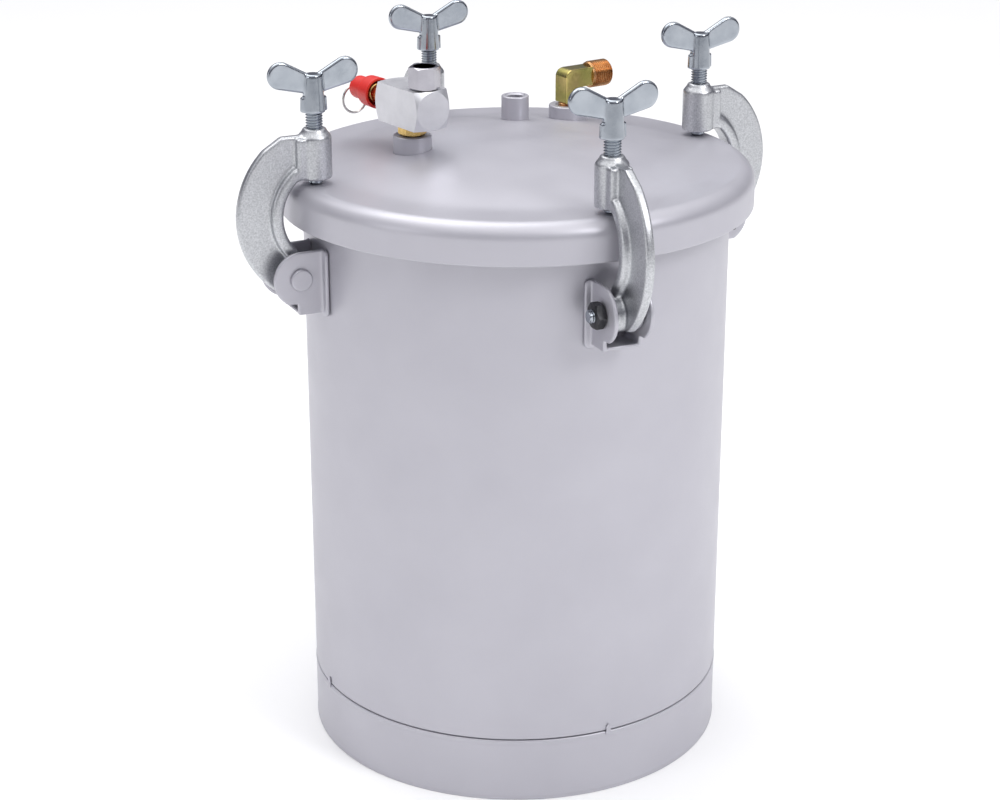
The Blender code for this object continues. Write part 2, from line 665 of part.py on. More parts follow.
def make_clamps(pot):
    """Four clamps, each a copy of the one on +X turned about the tank's axis."""
    shapes = {
        "bracket": (bracket_shape(), STEEL_PAINT, (TANK_RADIUS, 0, PIVOT_Z)),
        "pin": (pin_shape(), STEEL_PAINT, (PIVOT_RADIUS, 0, PIVOT_Z)),
        "nut": (nut_shape(), BLACK_STEEL, (PIVOT_RADIUS, 0, PIVOT_Z)),
        "arm": (arm_shape(), ZINC_CAST, (PIVOT_RADIUS, 0, PIVOT_Z)),
        "thrust_tip": (tip_shape(), ZINC_BRIGHT, (0, 0, 0)),
        "spindle": (spindle_shape(), ZINC_BRIGHT, (0, 0, 0)),
        "wing_handle": (handle_shape(), ZINC_BRIGHT, (0, 0, 0)),
    }
    for side, degrees in CLAMP_DIRECTIONS.items():
        around = Matrix.Rotation(math.radians(degrees), 4, "Z")
        clamp = empty(side + "_clamp", pot, around)
        screw_axis = empty(side + "_screw_axis", pot, Matrix.Identity(4))
        screw_axis.location = (around @ Vector((SCREW_CIRCLE, 0, 0)))
        for kind, (shape, finish, origin) in shapes.items():
            copy = link(kind, shape.data.copy())
            if kind in ("thrust_tip", "spindle", "wing_handle"):
                part(copy, side + "_" + kind, finish, pot, screw_axis)
            else:
                part(copy, side + "_" + kind, finish, pot, clamp, origin)
    for shape, _, _ in shapes.values():
        bpy.data.objects.remove(shape)


def make_inlet(pot, lid):
    """Nipple, drilled block and the inlet nut with its insert."""
    x, y = INLET_PORT
    boss_top = dome_height(x, y) + INLET_BOSS_HEIGHT
    hex_bottom = boss_top + GAP
    hex_top = hex_bottom + NIPPLE_HEX_HEIGHT
    stub = INLET_BORE - GAP
    nipple = hexagon(NIPPLE_ACROSS_FLATS, hex_bottom, hex_top)
    join(nipple, rod(stub, hex_bottom - NIPPLE_STUB_LENGTH, hex_top + NIPPLE_STUB_LENGTH))
    cut(nipple, rod(PASSAGE_RADIUS, 0, 1))
    move(nipple, Matrix.Rotation(BLOCK_TURN, 4, "Z"))
    part(move(nipple, Matrix.Translation((x, y, 0))), "inlet_nipple", BRASS, pot, lid)

    base = hex_top + GAP
    top = base + BLOCK_WIDTH
    middle = (base + top) / 2
    half, width = BLOCK_LENGTH / 2, BLOCK_WIDTH / 2
    block = bevelled(box((-half, -width, base), (half, width, top)), 0.8 * MM)
    pocket = NIPPLE_STUB_LENGTH + GAP
    stub_hole = rod(stub + GAP, base - MM, base + pocket)
    nut_hole = rod(INLET_STUB_RADIUS + GAP, top - pocket, top + MM)
    move(nut_hole, Matrix.Translation((INLET_NUT_OFFSET, 0, 0)))
    along = Matrix.Translation((0, 0, middle)) @ Matrix.Rotation(math.pi / 2, 4, "Y")
    valve_hole = move(rod(VALVE_STUB_RADIUS + GAP, -half - MM, pocket - half), along)
    passage = move(rod(PASSAGE_RADIUS, MM - half, INLET_NUT_OFFSET), along)
    riser = rod(PASSAGE_RADIUS, middle, top - MM)
    move(riser, Matrix.Translation((INLET_NUT_OFFSET, 0, 0)))
    feed = rod(PASSAGE_RADIUS, base + MM, middle)
    cut(block, stub_hole, nut_hole, valve_hole, passage, riser, feed)
    seat = Matrix.Translation((x, y, 0)) @ Matrix.Rotation(BLOCK_TURN, 4, "Z")
    part(move(block, seat), "manifold_block", ALUMINIUM, pot, lid)

    bore = INLET_NUT_ACROSS_FLATS / 2 - INLET_NUT_WALL
    nut_base = top + GAP
    nut = hexagon(INLET_NUT_ACROSS_FLATS, nut_base, nut_base + INLET_NUT_HEIGHT)
    cut(nut, rod(bore, 0, 1))
    over_nut = seat @ Matrix.Translation((INLET_NUT_OFFSET, 0, 0))
    turn = Matrix.Rotation(math.radians(4), 4, "Z")
    part(move(nut, over_nut @ turn), "inlet_nut", CHROME, pot, lid)
    inside = bore - GAP
    insert_top = nut_base + INLET_NUT_HEIGHT - 2.0 * MM
    insert = turned([
        (inside - MM, insert_top), (inside, insert_top - MM), (inside, nut_base),
        (INLET_STUB_RADIUS, nut_base), (INLET_STUB_RADIUS, top - NIPPLE_STUB_LENGTH),
        (PASSAGE_RADIUS, top - NIPPLE_STUB_LENGTH), (PASSAGE_RADIUS, insert_top - 4 * MM),
        (PASSAGE_RADIUS + MM, insert_top),
    ], closed=True)
    part(move(insert, over_nut), "inlet_insert", BRASS, pot, lid)
    return seat @ Matrix.Translation((-half, 0, middle))


def make_relief_valve(pot, block_end):
    """Spring-loaded relief valve on the block's rear end, pulled open by a ring."""
    frame = block_end @ Matrix.Rotation(-math.pi / 2, 4, "Y")
    valve = empty("relief_axis", pot, frame)
    start = -NIPPLE_STUB_LENGTH
    chamber_start = 1.0 * MM
    chamber_end = VALVE_BARREL_LENGTH - VALVE_END_WALL
    stem_hole = VALVE_STEM_RADIUS + GAP
    barrel = turned([
        (VALVE_BARREL_RADIUS - 0.6 * MM, VALVE_BARREL_LENGTH),
        (VALVE_BARREL_RADIUS, VALVE_BARREL_LENGTH - 0.6 * MM), (VALVE_BARREL_RADIUS, GAP),
        (VALVE_STUB_RADIUS, GAP), (VALVE_STUB_RADIUS, start), (PASSAGE_RADIUS, start),
        (PASSAGE_RADIUS, chamber_start), (VALVE_CHAMBER_RADIUS, chamber_start),
        (VALVE_CHAMBER_RADIUS, chamber_end), (stem_hole, chamber_end),
        (stem_hole, VALVE_BARREL_LENGTH),
    ], closed=True)
    collar = hexagon(VALVE_HEX_ACROSS_FLATS, GAP, VALVE_HEX_LENGTH)
    cut(collar, rod(VALVE_BARREL_RADIUS - MM, -VALVE_HEX_LENGTH, 2 * VALVE_HEX_LENGTH))
    part(join(barrel, collar), "relief_body", BRASS, pot, valve)

    disc_start = chamber_start + GAP
    disc_end = disc_start + VALVE_DISC_THICKNESS
    disc = VALVE_CHAMBER_RADIUS - GAP
    cap_end = CAP_START + CAP_LENGTH
    eye_z = cap_end + GAP + STEM_EYE_RADIUS
    stem = turned([
        (0, eye_z), (VALVE_STEM_RADIUS, eye_z), (VALVE_STEM_RADIUS, disc_end), (disc, disc_end),
        (disc, disc_start), (0, disc_start),
    ], SMALL_FACETS)
    cross = Matrix.Translation((0, 0, eye_z)) @ Matrix.Rotation(math.pi / 2, 4, "Y")
    cross = cross @ Matrix.Rotation(math.pi / 2, 4, "X")
    half_eye = VALVE_STEM_RADIUS * 0.9
    join(stem, move(rod(STEM_EYE_RADIUS, -half_eye, half_eye, SMALL_FACETS), cross))
    cut(stem, move(rod(STEM_EYE_HOLE, -4 * half_eye, 4 * half_eye, SMALL_FACETS), cross))
    part(stem, "relief_stem", STEEL_WIRE, pot, valve)

    flare_end = CAP_START + CAP_FLARE_LENGTH
    hollow_end = cap_end - 2 * CAP_WALL - 2.0 * MM
    hollow = CAP_END_RADIUS - CAP_WALL + 1.2 * MM
    cap = turned([
        (CAP_END_RADIUS - 2.0 * MM, cap_end - 0.2 * MM), (CAP_END_RADIUS, cap_end - 3.0 * MM),
        (CAP_END_RADIUS, flare_end + 1.5 * MM), (CAP_RIM_RADIUS - 0.6 * MM, flare_end),
        (CAP_RIM_RADIUS, CAP_START), (CAP_RIM_RADIUS - CAP_WALL, CAP_START),
        (CAP_RIM_RADIUS - CAP_WALL, flare_end - 2.0 * MM), (hollow, flare_end - MM),
        (hollow, hollow_end), (stem_hole, hollow_end), (stem_hole, cap_end - 0.2 * MM),
    ], closed=True)
    part(cap, "relief_cap", RED_PLASTIC, pot, valve)

    low = disc_end + GAP + SPRING_WIRE_RADIUS
    high = chamber_end - GAP - SPRING_WIRE_RADIUS
    coil = (disc + VALVE_STEM_RADIUS) / 2
    steps = 10 * SPRING_TURNS
    helix = []
    for i in range(steps + 1):
        turn = 2 * math.pi * SPRING_TURNS * i / steps
        helix.append((coil * math.cos(turn), coil * math.sin(turn), low + (high - low) * i / steps))
    part(wire(helix, SPRING_WIRE_RADIUS, resolution=0), "relief_spring", STEEL_WIRE, pot, valve)

    ring_axis = empty("pull_ring_axis", pot, frame @ Matrix.Translation((0, 0, eye_z)))
    turns = [2 * math.pi * i / SMALL_FACETS for i in range(SMALL_FACETS)]
    loop = [(RING_RADIUS * (math.cos(a) - 1), RING_RADIUS * math.sin(a), 0.0) for a in turns]
    part(wire(loop, RING_WIRE_RADIUS, closed=True, resolution=1), "pull_ring", STEEL_WIRE, pot, ring_axis)


def make_outlet(pot, lid):
    """Forged outlet elbow with a male thread at each end."""
    x, y = OUTLET_PORT
    boss_top = dome_height(x, y) + OUTLET_BOSS_HEIGHT
    half = ELBOW_SECTION / 2
    axis_z = ELBOW_AXIS_HEIGHT
    body = bevelled(upright(plate([
        (-half, ELBOW_STANDOFF), (half, ELBOW_STANDOFF), (half, axis_z - half),
        (ELBOW_LEG, axis_z - half), (ELBOW_LEG, axis_z + half), (-half, axis_z + half),
    ], ELBOW_SECTION)), ELBOW_CHAMFER)
    stub = rod(OUTLET_BORE - GAP, -NIPPLE_STUB_LENGTH, ELBOW_STANDOFF + 0.7 * ELBOW_CHAMFER)
    side = Matrix.Translation((0, 0, axis_z)) @ Matrix.Rotation(math.pi / 2, 4, "Y")
    end = ELBOW_LEG + ELBOW_THREAD_LENGTH
    thread = turned([
        (0, end), (ELBOW_THREAD_RADIUS - MM, end), (ELBOW_THREAD_RADIUS, end - MM),
        (ELBOW_THREAD_RADIUS, ELBOW_LEG + GAP), (ELBOW_THREAD_RADIUS - MM, ELBOW_LEG - MM),
        (0, ELBOW_LEG - MM),
    ])
    elbow = join(body, stub, move(thread, side))
    cut(elbow, rod(ELBOW_BORE, -2 * NIPPLE_STUB_LENGTH, axis_z),
        move(rod(ELBOW_SIDE_BORE, 0, end + MM), side))
    seat = Matrix.Translation((x, y, boss_top)) @ Matrix.Rotation(ELBOW_TURN, 4, "Z")
    part(move(elbow, seat), "outlet_elbow", YELLOW_ZINC, pot, lid)


def main():
    """Build the pot."""
    clear_scene()
    pot = new_collection("resin_pressure_pot")
    lid = empty("lid_axis", pot, Matrix.Identity(4))
    make_tank(pot)
    make_lid(pot, lid)
    make_clamps(pot)
    block_end = make_inlet(pot, lid)
    make_relief_valve(pot, block_end)
    make_outlet(pot, lid)
    bpy.context.view_layer.update()


main()
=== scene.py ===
"""Detailed model of a resin pressure pot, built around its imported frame.

Every sub-assembly is a class that models its pieces with bmesh operators, dresses them in
one of the pot's finishes and hands them to the frame, so that they move with its bodies.
Lengths are metres; a field's size is written as millimetres times MM.
"""
from __future__ import annotations

import json
import logging
import math
from dataclasses import dataclass, field
from enum import Enum
from typing import Iterable, Sequence

import bmesh
import bpy
from mathutils import Matrix, Vector


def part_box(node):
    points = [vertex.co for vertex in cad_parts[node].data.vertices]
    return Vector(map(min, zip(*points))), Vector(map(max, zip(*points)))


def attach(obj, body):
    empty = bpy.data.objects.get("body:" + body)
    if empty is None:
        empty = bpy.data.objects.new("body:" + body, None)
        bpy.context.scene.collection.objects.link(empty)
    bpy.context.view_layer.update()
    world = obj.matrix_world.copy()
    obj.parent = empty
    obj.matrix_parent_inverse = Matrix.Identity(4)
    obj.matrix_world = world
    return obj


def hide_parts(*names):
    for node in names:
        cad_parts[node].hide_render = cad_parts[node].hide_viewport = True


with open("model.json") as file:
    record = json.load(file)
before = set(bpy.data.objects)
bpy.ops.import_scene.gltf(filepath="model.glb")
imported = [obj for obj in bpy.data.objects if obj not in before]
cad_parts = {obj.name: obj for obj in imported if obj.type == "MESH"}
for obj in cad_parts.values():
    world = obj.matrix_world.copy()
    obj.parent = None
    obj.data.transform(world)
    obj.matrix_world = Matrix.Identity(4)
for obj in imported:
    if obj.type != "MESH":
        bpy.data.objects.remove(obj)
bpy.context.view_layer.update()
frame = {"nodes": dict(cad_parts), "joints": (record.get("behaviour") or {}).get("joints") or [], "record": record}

LOG = logging.getLogger("pressure_pot")
MM = 0.001
QUARTER_TURN = math.pi / 2
HALF_TURN = math.pi
FULL_TURN = 2 * math.pi
Point = tuple[float, float]
Colour = tuple[float, float, float]


# ---------------------------------------------------------------------------
# Finishes
# ---------------------------------------------------------------------------


class Grain(Enum):
    """How a surface's fine relief runs."""

    PEEL = "soft orange peel of sprayed paint"
    CAST = "pebbled skin of a die casting"
    PLATED = "smooth plating over a tumbled surface"
    BRUSHED = "fine lines along X and Y"
    TURNED = "fine rings about Z"
    MOULDED = "satin moulded plastic"


@dataclass(frozen=True)
class Finish:
    """One finish of the pot: its colours, its sheen and its relief."""

    name: str
    slot: str
    colours: tuple[tuple[float, Colour], ...]
    metallic: float
    roughness: tuple[float, float]
    grain: Grain
    mottle_size: float
    grain_size: float
    grain_depth: float
    specular: float = 0.5
    coat: float = 0.0
    coat_roughness: float = 0.1

    def material(self) -> bpy.types.Material:
        """Return the finish's material, made on first use.

        Returns:
            A node material that reads Object coordinates only.
        """
        known = bpy.data.materials.get(self.name)
        return known or _Look(self).material


class _Look:
    """Builds the node tree of one finish."""

    def __init__(self, finish: Finish) -> None:
        """Make the material and connect its colour, roughness and relief.

        Args:
            finish: The finish to build.
        """
        self.material = bpy.data.materials.new(finish.name)
        self.material.use_nodes = True
        self.nodes = self.material.node_tree.nodes
        self.links = self.material.node_tree.links
        shader = self.nodes["Principled BSDF"]
        self.coords = self.nodes.new("ShaderNodeTexCoord").outputs["Object"]
        shader.inputs["Metallic"].default_value = finish.metallic
        shader.inputs["Specular IOR Level"].default_value = finish.specular
        shader.inputs["Coat Weight"].default_value = finish.coat
        shader.inputs["Coat Roughness"].default_value = finish.coat_roughness
        mottle = self.noise(finish.mottle_size, detail=5.0)
        self.links.new(self.ramp(mottle, finish.colours), shader.inputs["Base Color"])
        height = self.relief(finish)
        patches = self.noise(finish.mottle_size * 0.37, detail=3.0)
        worn = self.nodes.new("ShaderNodeMix")
        worn.inputs[0].default_value = 0.45
        self.links.new(patches, worn.inputs[2])
        self.links.new(height, worn.inputs[3])
        rough = self.remap(worn.outputs[0], (0.3, 0.7), finish.roughness)
        self.links.new(rough, shader.inputs["Roughness"])
        bump = self.nodes.new("ShaderNodeBump")
        bump.inputs["Strength"].default_value = 1.0
        bump.inputs["Distance"].default_value = finish.grain_depth
        self.links.new(height, bump.inputs["Height"])
        self.links.new(bump.outputs["Normal"], shader.inputs["Normal"])

    def noise(
        self, size: float, detail: float = 2.0, stretch: tuple[float, float, float] = (1, 1, 1)
    ) -> bpy.types.NodeSocket:
        """Add a noise pattern.

        Args:
            size: Size of its blotches.
            detail: How many finer layers it has.
            stretch: Scale of the pattern along each axis.

        Returns:
            The pattern's value.
        """
        place = self.nodes.new("ShaderNodeMapping")
        place.inputs["Scale"].default_value = stretch
        self.links.new(self.coords, place.inputs["Vector"])
        pattern = self.nodes.new("ShaderNodeTexNoise")
        pattern.inputs["Scale"].default_value = 1.0 / size
        pattern.inputs["Detail"].default_value = detail
        self.links.new(place.outputs["Vector"], pattern.inputs["Vector"])
        return pattern.outputs["Fac"]

    def cells(self, size: float) -> bpy.types.NodeSocket:
        """Add a pattern of rounded pebbles.

        Args:
            size: Width of a pebble.

        Returns:
            The distance to the nearest pebble's middle.
        """
        pattern = self.nodes.new("ShaderNodeTexVoronoi")
        pattern.feature = "SMOOTH_F1"
        pattern.inputs["Scale"].default_value = 1.0 / size
        pattern.inputs["Smoothness"].default_value = 0.6
        self.links.new(self.coords, pattern.inputs["Vector"])
        return pattern.outputs["Distance"]

    def ramp(
        self, value: bpy.types.NodeSocket, stops: Sequence[tuple[float, Colour]]
    ) -> bpy.types.NodeSocket:
        """Turn a value into colours.

        Args:
            value: The value that drives the ramp.
            stops: Places along the ramp and their colours.

        Returns:
            The colour.
        """
        node = self.nodes.new("ShaderNodeValToRGB")
        elements = node.color_ramp.elements
        while len(elements) < len(stops):
            elements.new(0.5)
        for element, (place, colour) in zip(elements, stops):
            element.position = place
            element.color = (*colour, 1.0)
        self.links.new(value, node.inputs["Fac"])
        return node.outputs["Color"]

    def remap(self, value: bpy.types.NodeSocket, source: Point, target: Point) -> bpy.types.NodeSocket:
        """Stretch a value from one range to another.

        Args:
            value: The value to stretch.
            source: Its range.
            target: The new range.

        Returns:
            The stretched value.
        """
        node = self.nodes.new("ShaderNodeMapRange")
        node.inputs["From Min"].default_value, node.inputs["From Max"].default_value = source
        node.inputs["To Min"].default_value, node.inputs["To Max"].default_value = target
        self.links.new(value, node.inputs["Value"])
        return node.outputs["Result"]

    def relief(self, finish: Finish) -> bpy.types.NodeSocket:
        """Add the finish's fine relief.

        Args:
            finish: The finish to build.

        Returns:
            The relief's height, from 0 to about 1.
        """
        size = finish.grain_size
        if finish.grain is Grain.CAST:
            both = self.nodes.new("ShaderNodeMix")
            both.inputs[0].default_value = 0.55
            self.links.new(self.cells(size), both.inputs[2])
            self.links.new(self.noise(size * 0.6, detail=3.0), both.inputs[3])
            return both.outputs[0]
        if finish.grain is Grain.BRUSHED:
            return self.noise(size, detail=4.0, stretch=(0.15, 0.15, 4.0))
        if finish.grain is Grain.TURNED:
            return self.noise(size, detail=3.0, stretch=(0.25, 0.25, 3.0))
        return self.noise(size, detail=1.0 if finish.grain is Grain.PEEL else 3.0)


PAINT = Finish(
    "silver_paint_satin", "silver_paint",
    ((0.30, (0.480, 0.473, 0.520)), (0.70, (0.510, 0.503, 0.550))),
    0.45, (0.36, 0.46), Grain.PEEL, 60 * MM, 0.9 * MM, 0.014 * MM,
)
CAST_ZINC = Finish(
    "cast_zinc_grainy", "cast_zinc",
    ((0.32, (0.42, 0.43, 0.45)), (0.68, (0.62, 0.63, 0.65))),
    1.0, (0.26, 0.44), Grain.CAST, 0.9 * MM, 0.5 * MM, 0.12 * MM,
)
# Painted shade: this base colour is darker than real bright zinc, so the pale floor reflects as dark blue-grey in
# place of dark surroundings.
BRIGHT_ZINC = Finish(
    "bright_zinc_plate", "bright_zinc",
    ((0.30, (0.33, 0.36, 0.40)), (0.70, (0.42, 0.45, 0.49))),
    1.0, (0.14, 0.24), Grain.PLATED, 9 * MM, 1.4 * MM, 0.012 * MM,
)
BLACK_STEEL = Finish(
    "black_oxide_steel", "black_steel",
    ((0.30, (0.020, 0.020, 0.023)), (0.70, (0.045, 0.045, 0.050))),
    0.6, (0.28, 0.45), Grain.PLATED, 3 * MM, 0.5 * MM, 0.02 * MM,
)
ALUMINIUM = Finish(
    "aluminium_bar_stock", "aluminium",
    ((0.30, (0.68, 0.68, 0.71)), (0.70, (0.75, 0.75, 0.78))),
    0.85, (0.34, 0.46), Grain.BRUSHED, 8 * MM, 0.6 * MM, 0.015 * MM,
)
# Painted shade: this base colour is darker than real chrome, so the pale floor reflects as mid-grey in place of
# dark surroundings.
CHROME = Finish(
    "chrome_plate", "chrome",
    ((0.30, (0.40, 0.39, 0.43)), (0.70, (0.46, 0.45, 0.49))),
    1.0, (0.05, 0.11), Grain.PLATED, 6 * MM, 2.0 * MM, 0.004 * MM,
)
BRASS = Finish(
    "machined_brass", "brass",
    ((0.30, (0.64, 0.42, 0.13)), (0.70, (0.80, 0.57, 0.22))),
    1.0, (0.18, 0.32), Grain.TURNED, 5 * MM, 0.4 * MM, 0.015 * MM,
)
YELLOW_ZINC = Finish(
    "yellow_passivated_forging", "yellow_zinc",
    ((0.30, (0.42, 0.42, 0.12)), (0.52, (0.62, 0.54, 0.17)), (0.72, (0.70, 0.52, 0.22))),
    1.0, (0.16, 0.28), Grain.PLATED, 14 * MM, 1.4 * MM, 0.03 * MM,
)
COPPER_THREAD = Finish(
    "coppery_thread", "yellow_zinc",
    ((0.30, (0.50, 0.25, 0.11)), (0.70, (0.72, 0.42, 0.20))),
    1.0, (0.20, 0.32), Grain.PLATED, 6 * MM, 0.6 * MM, 0.006 * MM,
)
RED_PLASTIC = Finish(
    "red_moulded_plastic", "red_plastic",
    ((0.30, (0.62, 0.018, 0.014)), (0.70, (0.72, 0.028, 0.020))),
    0.0, (0.32, 0.44), Grain.MOULDED, 6 * MM, 0.6 * MM, 0.02 * MM,
)
RUBBER = Finish(
    "gasket_black_rubber", "gasket_rubber",
    ((0.30, (0.018, 0.018, 0.018)), (0.70, (0.032, 0.032, 0.032))),
    0.0, (0.70, 0.88), Grain.MOULDED, 12 * MM, 0.7 * MM, 0.05 * MM,
)
STEEL_WIRE = Finish(
    "drawn_steel_wire", "steel_wire",
    ((0.30, (0.50, 0.48, 0.46)), (0.70, (0.64, 0.62, 0.60))),
    1.0, (0.14, 0.26), Grain.PLATED, 3 * MM, 0.4 * MM, 0.008 * MM,
)


# ---------------------------------------------------------------------------
# Outlines
# ---------------------------------------------------------------------------


def arc(centre: Point, radius: float, start: float, end: float, steps: int) -> list[Point]:
    """Points along a circular arc.

    Args:
        centre: Middle of the arc.
        radius: Its radius.
        start: First angle, in degrees.
        end: Last angle, in degrees.
        steps: Number of chords.

    Returns:
        The arc's points, both ends included.
    """
    angles = [math.radians(start + (end - start) * i / steps) for i in range(steps + 1)]
    return [(centre[0] + radius * math.cos(a), centre[1] + radius * math.sin(a)) for a in angles]


def rounded(
    corners: Sequence[Sequence[float]], closed: bool = True, degrees: float = 12.0
) -> list[Point]:
    """Round the corners of an outline.

    Args:
        corners: Points (x, y) or (x, y, radius); a point with no radius stays sharp.
        closed: Whether the last point joins the first.
        degrees: Largest turn of one chord.

    Returns:
        The outline with its fillets.
    """
    points: list[Point] = []
    last = len(corners) - 1
    for i, corner in enumerate(corners):
        here = Vector(corner[:2])
        if len(corner) < 3 or (not closed and i in (0, last)):
            points.append((here.x, here.y))
            continue
        before = Vector(corners[i - 1][:2]) - here
        after = Vector(corners[(i + 1) % len(corners)][:2]) - here
        half = before.angle(after) / 2
        reach = min(corner[2] / math.tan(half), 0.49 * before.length, 0.49 * after.length)
        radius = reach * math.tan(half)
        middle = here + (before.normalized() + after.normalized()).normalized() * radius / math.sin(half)
        spokes = [here + side.normalized() * reach - middle for side in (before, after)]
        first, second = (math.atan2(spoke.y, spoke.x) for spoke in spokes)
        sweep = (second - first + HALF_TURN) % FULL_TURN - HALF_TURN
        steps = max(2, math.ceil(abs(math.degrees(sweep)) / degrees))
        points += arc(tuple(middle), radius, math.degrees(first), math.degrees(first + sweep), steps)
    return points


# ---------------------------------------------------------------------------
# Shapes
# ---------------------------------------------------------------------------


class Shape:
    """A closed shape under construction, grown by bmesh operators."""

    def __init__(self) -> None:
        """Start with nothing."""
        self.bm = bmesh.new()

    def moved(self, matrix: Matrix) -> Shape:
        """Place the shape and return it.

        Args:
            matrix: Where it goes.

        Returns:
            The shape itself.
        """
        bmesh.ops.transform(self.bm, matrix=matrix, verts=self.bm.verts)
        return self

    def copy(self) -> Shape:
        """Return a second shape with the same geometry."""
        other = Shape()
        other.bm.free()
        other.bm = self.bm.copy()
        return other

    def join(self, *others: Shape) -> Shape:
        """Take other shapes into this one.

        Args:
            *others: Shapes to take in; they are used up.

        Returns:
            The shape itself.
        """
        for other in others:
            mesh = other.mesh("joined")
            self.bm.from_mesh(mesh)
            bpy.data.meshes.remove(mesh)
        return self

    def mesh(self, name: str) -> bpy.types.Mesh:
        """Turn the shape into a mesh and end it.

        Args:
            name: Name of the mesh.

        Returns:
            The mesh, its doubles merged and its faces pointing outwards.
        """
        bmesh.ops.remove_doubles(self.bm, verts=self.bm.verts, dist=0.0005 * MM)
        bmesh.ops.recalc_face_normals(self.bm, faces=self.bm.faces)
        mesh = bpy.data.meshes.new(name)
        self.bm.to_mesh(mesh)
        self.bm.free()
        return mesh

    def with_modifier(self, kind: str, **settings: object) -> Shape:
        """Apply one modifier to the shape.

        Args:
            kind: The modifier's type.
            **settings: Its settings.

        Returns:
            The changed shape.
        """
        item = bpy.data.objects.new("working", self.mesh("working"))
        bpy.context.scene.collection.objects.link(item)
        step = item.modifiers.new("step", kind)
        for name, value in settings.items():
            setattr(step, name, value)
        graph = bpy.context.evaluated_depsgraph_get()
        result = bpy.data.meshes.new_from_object(item.evaluated_get(graph))
        changed = Shape()
        changed.bm.from_mesh(result)
        working = item.data
        bpy.data.objects.remove(item)
        bpy.data.meshes.remove(working)
        bpy.data.meshes.remove(result)
        return changed

    def cut(self, tool: Shape) -> Shape:
        """Cut another shape out of this one.

        Args:
            tool: The shape to cut away; it is used up.

        Returns:
            The cut shape.
        """
        cutter = bpy.data.objects.new("cutter", tool.mesh("cutter"))
        bpy.context.scene.collection.objects.link(cutter)
        changed = self.with_modifier("BOOLEAN", operation="DIFFERENCE", solver="EXACT", object=cutter)
        worn = cutter.data
        bpy.data.objects.remove(cutter)
        bpy.data.meshes.remove(worn)
        return changed

    def cast(self, voxel: float, passes: int) -> Shape:
        """Fuse overlapping shells into one skin with soft edges and fillets.

        Args:
            voxel: Size of the skin's facets.
            passes: How often the skin is relaxed.

        Returns:
            The fused shape.
        """
        fused = self.with_modifier("REMESH", mode="VOXEL", voxel_size=voxel)
        for _ in range(passes):
            bmesh.ops.smooth_vert(
                fused.bm, verts=fused.bm.verts, factor=0.5,
                use_axis_x=True, use_axis_y=True, use_axis_z=True,
            )
        return fused


def turned(profile: Sequence[Point], steps: int = 96, closed: bool = False) -> Shape:
    """Turn a profile about Z.

    Args:
        profile: Points (radius, height).
        steps: Facets around.
        closed: Whether the profile is a loop, as for a ring.

    Returns:
        The turned shape.
    """
    shape = Shape()
    verts = [shape.bm.verts.new((radius, 0.0, height)) for radius, height in profile]
    pairs = list(zip(verts, verts[1:])) + ([(verts[-1], verts[0])] if closed else [])
    edges = [shape.bm.edges.new(pair) for pair in pairs]
    bmesh.ops.spin(
        shape.bm, geom=verts + edges, cent=(0, 0, 0), axis=(0, 0, 1),
        angle=FULL_TURN, steps=steps, use_merge=True,
    )
    return shape


def slab(outline: Sequence[Point], thickness: float, edge: float = 0.0, segments: int = 3) -> Shape:
    """Plate of even thickness, centred on the XY plane.

    Args:
        outline: Its outline.
        thickness: Its thickness along Z.
        edge: Radius of its rim's edges.
        segments: Facets across a rounded edge.

    Returns:
        The plate.
    """
    shape = Shape()
    face = shape.bm.faces.new([shape.bm.verts.new((x, y, -thickness / 2)) for x, y in outline])
    grown = bmesh.ops.extrude_face_region(shape.bm, geom=[face])["geom"]
    raised = [item for item in grown if isinstance(item, bmesh.types.BMVert)]
    bmesh.ops.translate(shape.bm, vec=(0, 0, thickness), verts=raised)
    if edge > 0:
        flat = [e for e in shape.bm.edges if abs(e.verts[0].co.z - e.verts[1].co.z) < thickness / 2]
        bmesh.ops.bevel(
            shape.bm, geom=flat, offset=edge, segments=segments, profile=0.5,
            affect="EDGES", material=-1, clamp_overlap=True,
        )
    return shape


def brick(low: Sequence[float], high: Sequence[float], edge: float = 0.0) -> Shape:
    """Box with rounded edges.

    Args:
        low: Its lowest corner.
        high: Its highest corner.
        edge: Radius of its edges.

    Returns:
        The box.
    """
    shape = Shape()
    size = [b - a for a, b in zip(low, high)]
    middle = [(a + b) / 2 for a, b in zip(low, high)]
    place = Matrix.Translation(middle) @ Matrix.Diagonal((*size, 1.0))
    bmesh.ops.create_cube(shape.bm, size=1.0, matrix=place)
    if edge > 0:
        bmesh.ops.bevel(
            shape.bm, geom=shape.bm.edges[:], offset=edge, segments=3, profile=0.5,
            affect="EDGES", material=-1,
        )
    return shape


def prism_reach(sides: int, across: float, angle: float) -> float:
    """Distance from the axis to the side of a regular prism.

    Args:
        sides: Number of its sides.
        across: Its size across flats.
        angle: Direction, with a corner at 0.

    Returns:
        The distance.
    """
    step = FULL_TURN / sides
    return across / 2 / math.cos((angle % step) - step / 2)


